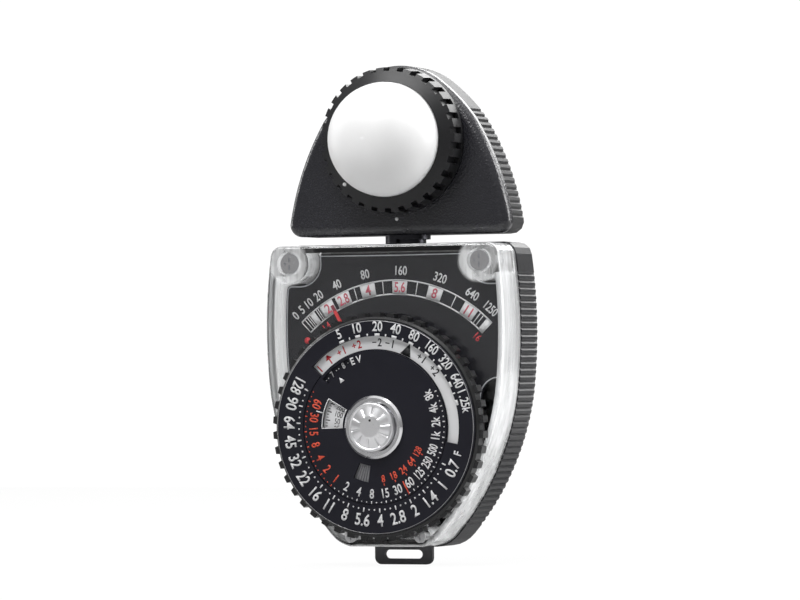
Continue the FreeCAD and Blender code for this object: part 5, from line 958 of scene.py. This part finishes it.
# A round section carried round the dial's axis: radius, tube radius and level in mm.
def ringPiece(name, look, finishName, body, slotName, around=96, section=8):
    turn = np.linspace(0, 2 * math.pi, around, endpoint=False)[:, None]
    bend = np.linspace(0, 2 * math.pi, section, endpoint=False)[None]
    reach = look["radius"] + look["tube"] * np.cos(bend)
    level = look["y"] - look["tube"] * np.sin(bend) + 0 * turn
    points = np.stack([reach * np.sin(turn), level, dialZ + reach * np.cos(turn)], 2)
    quads = loopQuads(around, section)
    marks = Marks()
    marks.add(points.reshape(-1, 3), quads.ravel(), np.full(len(quads), 4))
    piece = marks.make(name, finishName, body, slotName)
    piece.data.polygons.foreach_set("use_smooth", np.ones(len(piece.data.polygons), bool))


# The outline of a node's face that looks towards the reader, as points in order, in mm.
def faceOutline(node, level, closeTo=0.01, digits=3):
    points, loops, _ = meshArrays(nodes[node].data)
    points = points / mm
    triangles = loops.reshape(-1, 3)
    flat = np.all(np.abs(points[triangles][:, :, 1] - level) < closeTo, axis=1)
    triangles = triangles[flat]
    keys, index = np.unique(np.round(points[:, [0, 2]], digits), axis=0, return_inverse=True)
    triangles = index.reshape(-1)[triangles]
    edges = np.concatenate([triangles[:, [0, 1]], triangles[:, [1, 2]], triangles[:, [2, 0]]])
    known = {tuple(e) for e in edges.tolist()}
    following = {a: b for a, b in known if (b, a) not in known}
    rings = []
    while following:
        start, here = following.popitem()
        ring = [start]
        while here != start:
            ring.append(here)
            here = following.pop(here)
        rings.append(keys[ring])
    return max(rings, key=len)


# A square section carried along a closed outline that lies flat: inset and width across, in mm.
def outlineStrip(outline, inset, width, level, thick):
    after = np.roll(outline, -1, 0) - outline
    before = outline - np.roll(outline, 1, 0)
    along = after / np.linalg.norm(after, axis=1)[:, None] + before / np.linalg.norm(before, axis=1)[:, None]
    along /= np.maximum(np.linalg.norm(along, axis=1)[:, None], 1e-6)
    area = np.sum(outline[:, 0] * np.roll(outline[:, 1], -1) - np.roll(outline[:, 0], -1) * outline[:, 1])
    inward = np.column_stack([-along[:, 1], along[:, 0]]) * np.sign(area)
    near, far = outline + inward * inset, outline + inward * (inset + width)
    count = len(outline)
    layers = [(near, level), (far, level), (far, level - thick), (near, level - thick)]
    points = np.stack([np.column_stack([flat[:, 0], np.full(count, y), flat[:, 1]]) for flat, y in layers], 1)
    quads = loopQuads(count, len(layers))
    return points.reshape(-1, 3), (quads[:, ::-1] if area > 0 else quads).ravel(), np.full(count * 4, 4)


# Painted highlight: a thin grey-silver strip just inside the scale plate's outline stands in for the glint
# along the plate's edge.
plateEdge = {"level": 1.7, "inset": 0.15, "width": 0.28, "thick": 0.03}
edgeHighlight = Marks()
edgeHighlight.add(*outlineStrip(faceOutline("scale_plate", plateEdge["level"]), **plateEdge))
edgeHighlight.make("plateEdgeHighlight", "paintedEdgeHighlight", "case", "inner_alloy")

# Painted highlight: a thin bright metal ring laid along the outer disc's rim stands in for the glint on its
# edge.
rimHighlight = {"radius": dialR - 0.16, "tube": 0.07, "y": -10.86}
ringPiece("discRimHighlight", rimHighlight, "paintedRimHighlight", "dial", "inner_alloy")

buttonLook = {
    "radius": 5.42, "plateau": 2.45, "rim": 4.75, "front": -13.78, "back": -12.1, "fall": 0.62, "pads": 10,
    "groove": 0.22, "grooveShare": 0.20, "turn": 9.0, "chordDepth": 0.55, "blendIn": 0.5, "blendOut": 0.25,
    "rimBlend": 0.4, "first": 0.3, "plateauRings": 6, "padRings": 16, "step": 0.12,
    # the lip and wall outside the pads: radius past the rim or the wall, and level past the rim or the back
    "lipOut": 0.06, "lipDrop": 0.10, "corner": 0.12, "cornerDrop": 0.05, "bevel": 0.1,
    "dot": {"out": 1.55, "at": 2.0, "radius": 0.28},
}


# Height of the button's face over its plateau: flat to the plateau's edge, then evenly down to the rim. On
# the way each pad is a flat chord of the cone, with a groove between pads that widens outwards.
def buttonHeight(radius, angle, look):
    slope = np.clip((radius - look["plateau"]) / (look["rim"] - look["plateau"]), 0, 1)
    sector = 2 * math.pi / look["pads"]
    inPad = np.mod(angle - math.radians(look["turn"]), sector) / sector - 0.5
    chord = (1 / np.cos(inPad * sector) - 1) * radius * look["chordDepth"]
    edge = 0.5 - look["grooveShare"] / 2
    groove = np.clip((np.abs(inPad) - edge) / (0.5 - edge), 0, 1)
    groove = groove * groove * (3 - 2 * groove)
    inside = np.clip((radius - look["plateau"]) / look["blendIn"], 0, 1)
    inside = inside * np.clip((look["rim"] - radius) / look["blendOut"] + look["rimBlend"], 0, 1)
    return -look["fall"] * slope - (chord + look["groove"] * groove) * inside


def makeButton(look, around=240):
    angle = np.arange(around) * 2 * math.pi / around
    plateau, rim, wall, back = look["plateau"], look["rim"], look["radius"], look["back"]
    faceR = np.concatenate([np.linspace(look["first"], plateau, look["plateauRings"]),
                            np.linspace(plateau + look["step"], rim, look["padRings"])])
    wallR = [rim + look["lipOut"], wall - look["corner"], wall, wall, wall - look["bevel"]]
    rimY = look["front"] + look["fall"]
    lipY = rimY - look["lipDrop"]
    wallY = [lipY, lipY, rimY + look["cornerDrop"], back - look["bevel"], back]
    radius, turn = np.meshgrid(faceR, angle, indexing="ij")
    level = look["front"] - buttonHeight(radius, turn, look)
    radius = np.concatenate([radius, np.repeat(np.array(wallR)[:, None], around, 1)])
    level = np.concatenate([level, np.repeat(np.array(wallY)[:, None], around, 1)])
    turn = np.broadcast_to(angle, radius.shape)
    rings = len(radius)
    points = np.stack([radius * np.sin(turn), level, dialZ + radius * np.cos(turn)], 2).reshape(-1, 3)
    points = np.concatenate([points, [[0, look["front"], dialZ], [0, back, dialZ]]])
    quads = loopQuads(rings, around, False)
    j = np.arange(around)
    k = (j + 1) % around
    last = (rings - 1) * around
    frontFan = np.column_stack([np.full(around, rings * around), j, k])
    backFan = np.column_stack([np.full(around, rings * around + 1), last + k, last + j])
    marks = Marks()
    marks.add(points, np.concatenate([quads.ravel(), frontFan.ravel(), backFan.ravel()]),
              np.concatenate([np.full(len(quads), 4), np.full(2 * around, 3)]))
    piece = marks.make("stopButtonCap", "buttonSilver", "button", "button_silver")
    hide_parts("stop_button")
    face = Face(0, dialZ, look["front"], inkDepth)
    makeDot("stopButtonDot", face, look["dot"], "inkBlack", "button", "dial_black")


# One round dot of ink as its own piece.
def makeDot(name, face, dot, finishName, body, slotName):
    marks = Marks()
    marks.add(*face.put(discSolid(dot["radius"], roundCorners), dot["at"], dot["out"]))
    marks.make(name, finishName, body, slotName)


makeButton(buttonLook)

headDots = {
    "index": {"x": 0.0, "z": 77.5, "y": 2.8, "radius": 0.42, "at": 0.0, "out": 0.0},
    "ring": {"radius": 0.42, "at": 226.0, "out": 14.1},
}
# The grip ring's face in mm: its axis height, the radii of its lip and rim, the lip's level, its fall to the
# rim, and how far the dot sinks in.
ringFace = {"z": 95.1, "lip": 12.9, "rim": 16.2, "y": -3.4, "fall": 1.35, "sink": 0.03}


def printHead(look, ring):
    index, dot = look["index"], look["ring"]
    makeDot("headIndexDot", Face(index["x"], index["z"], index["y"], inkDepth), index, "inkWhite", "head",
            "film_white")
    # the ring's face falls away from the lip, so the dot stands on it at its own radius
    slope = ring["fall"] / (ring["rim"] - ring["lip"])
    level = ring["y"] + slope * (dot["out"] - dot["radius"] - ring["lip"])
    drop = slope * 2 * dot["radius"]
    face = Face(0, ring["z"], level + drop, drop + ring["sink"])
    makeDot("diffuserDot", face, dot, "inkWhite", "diffuser", "film_white")


printHead(headDots, ringFace)
print("marks printed")
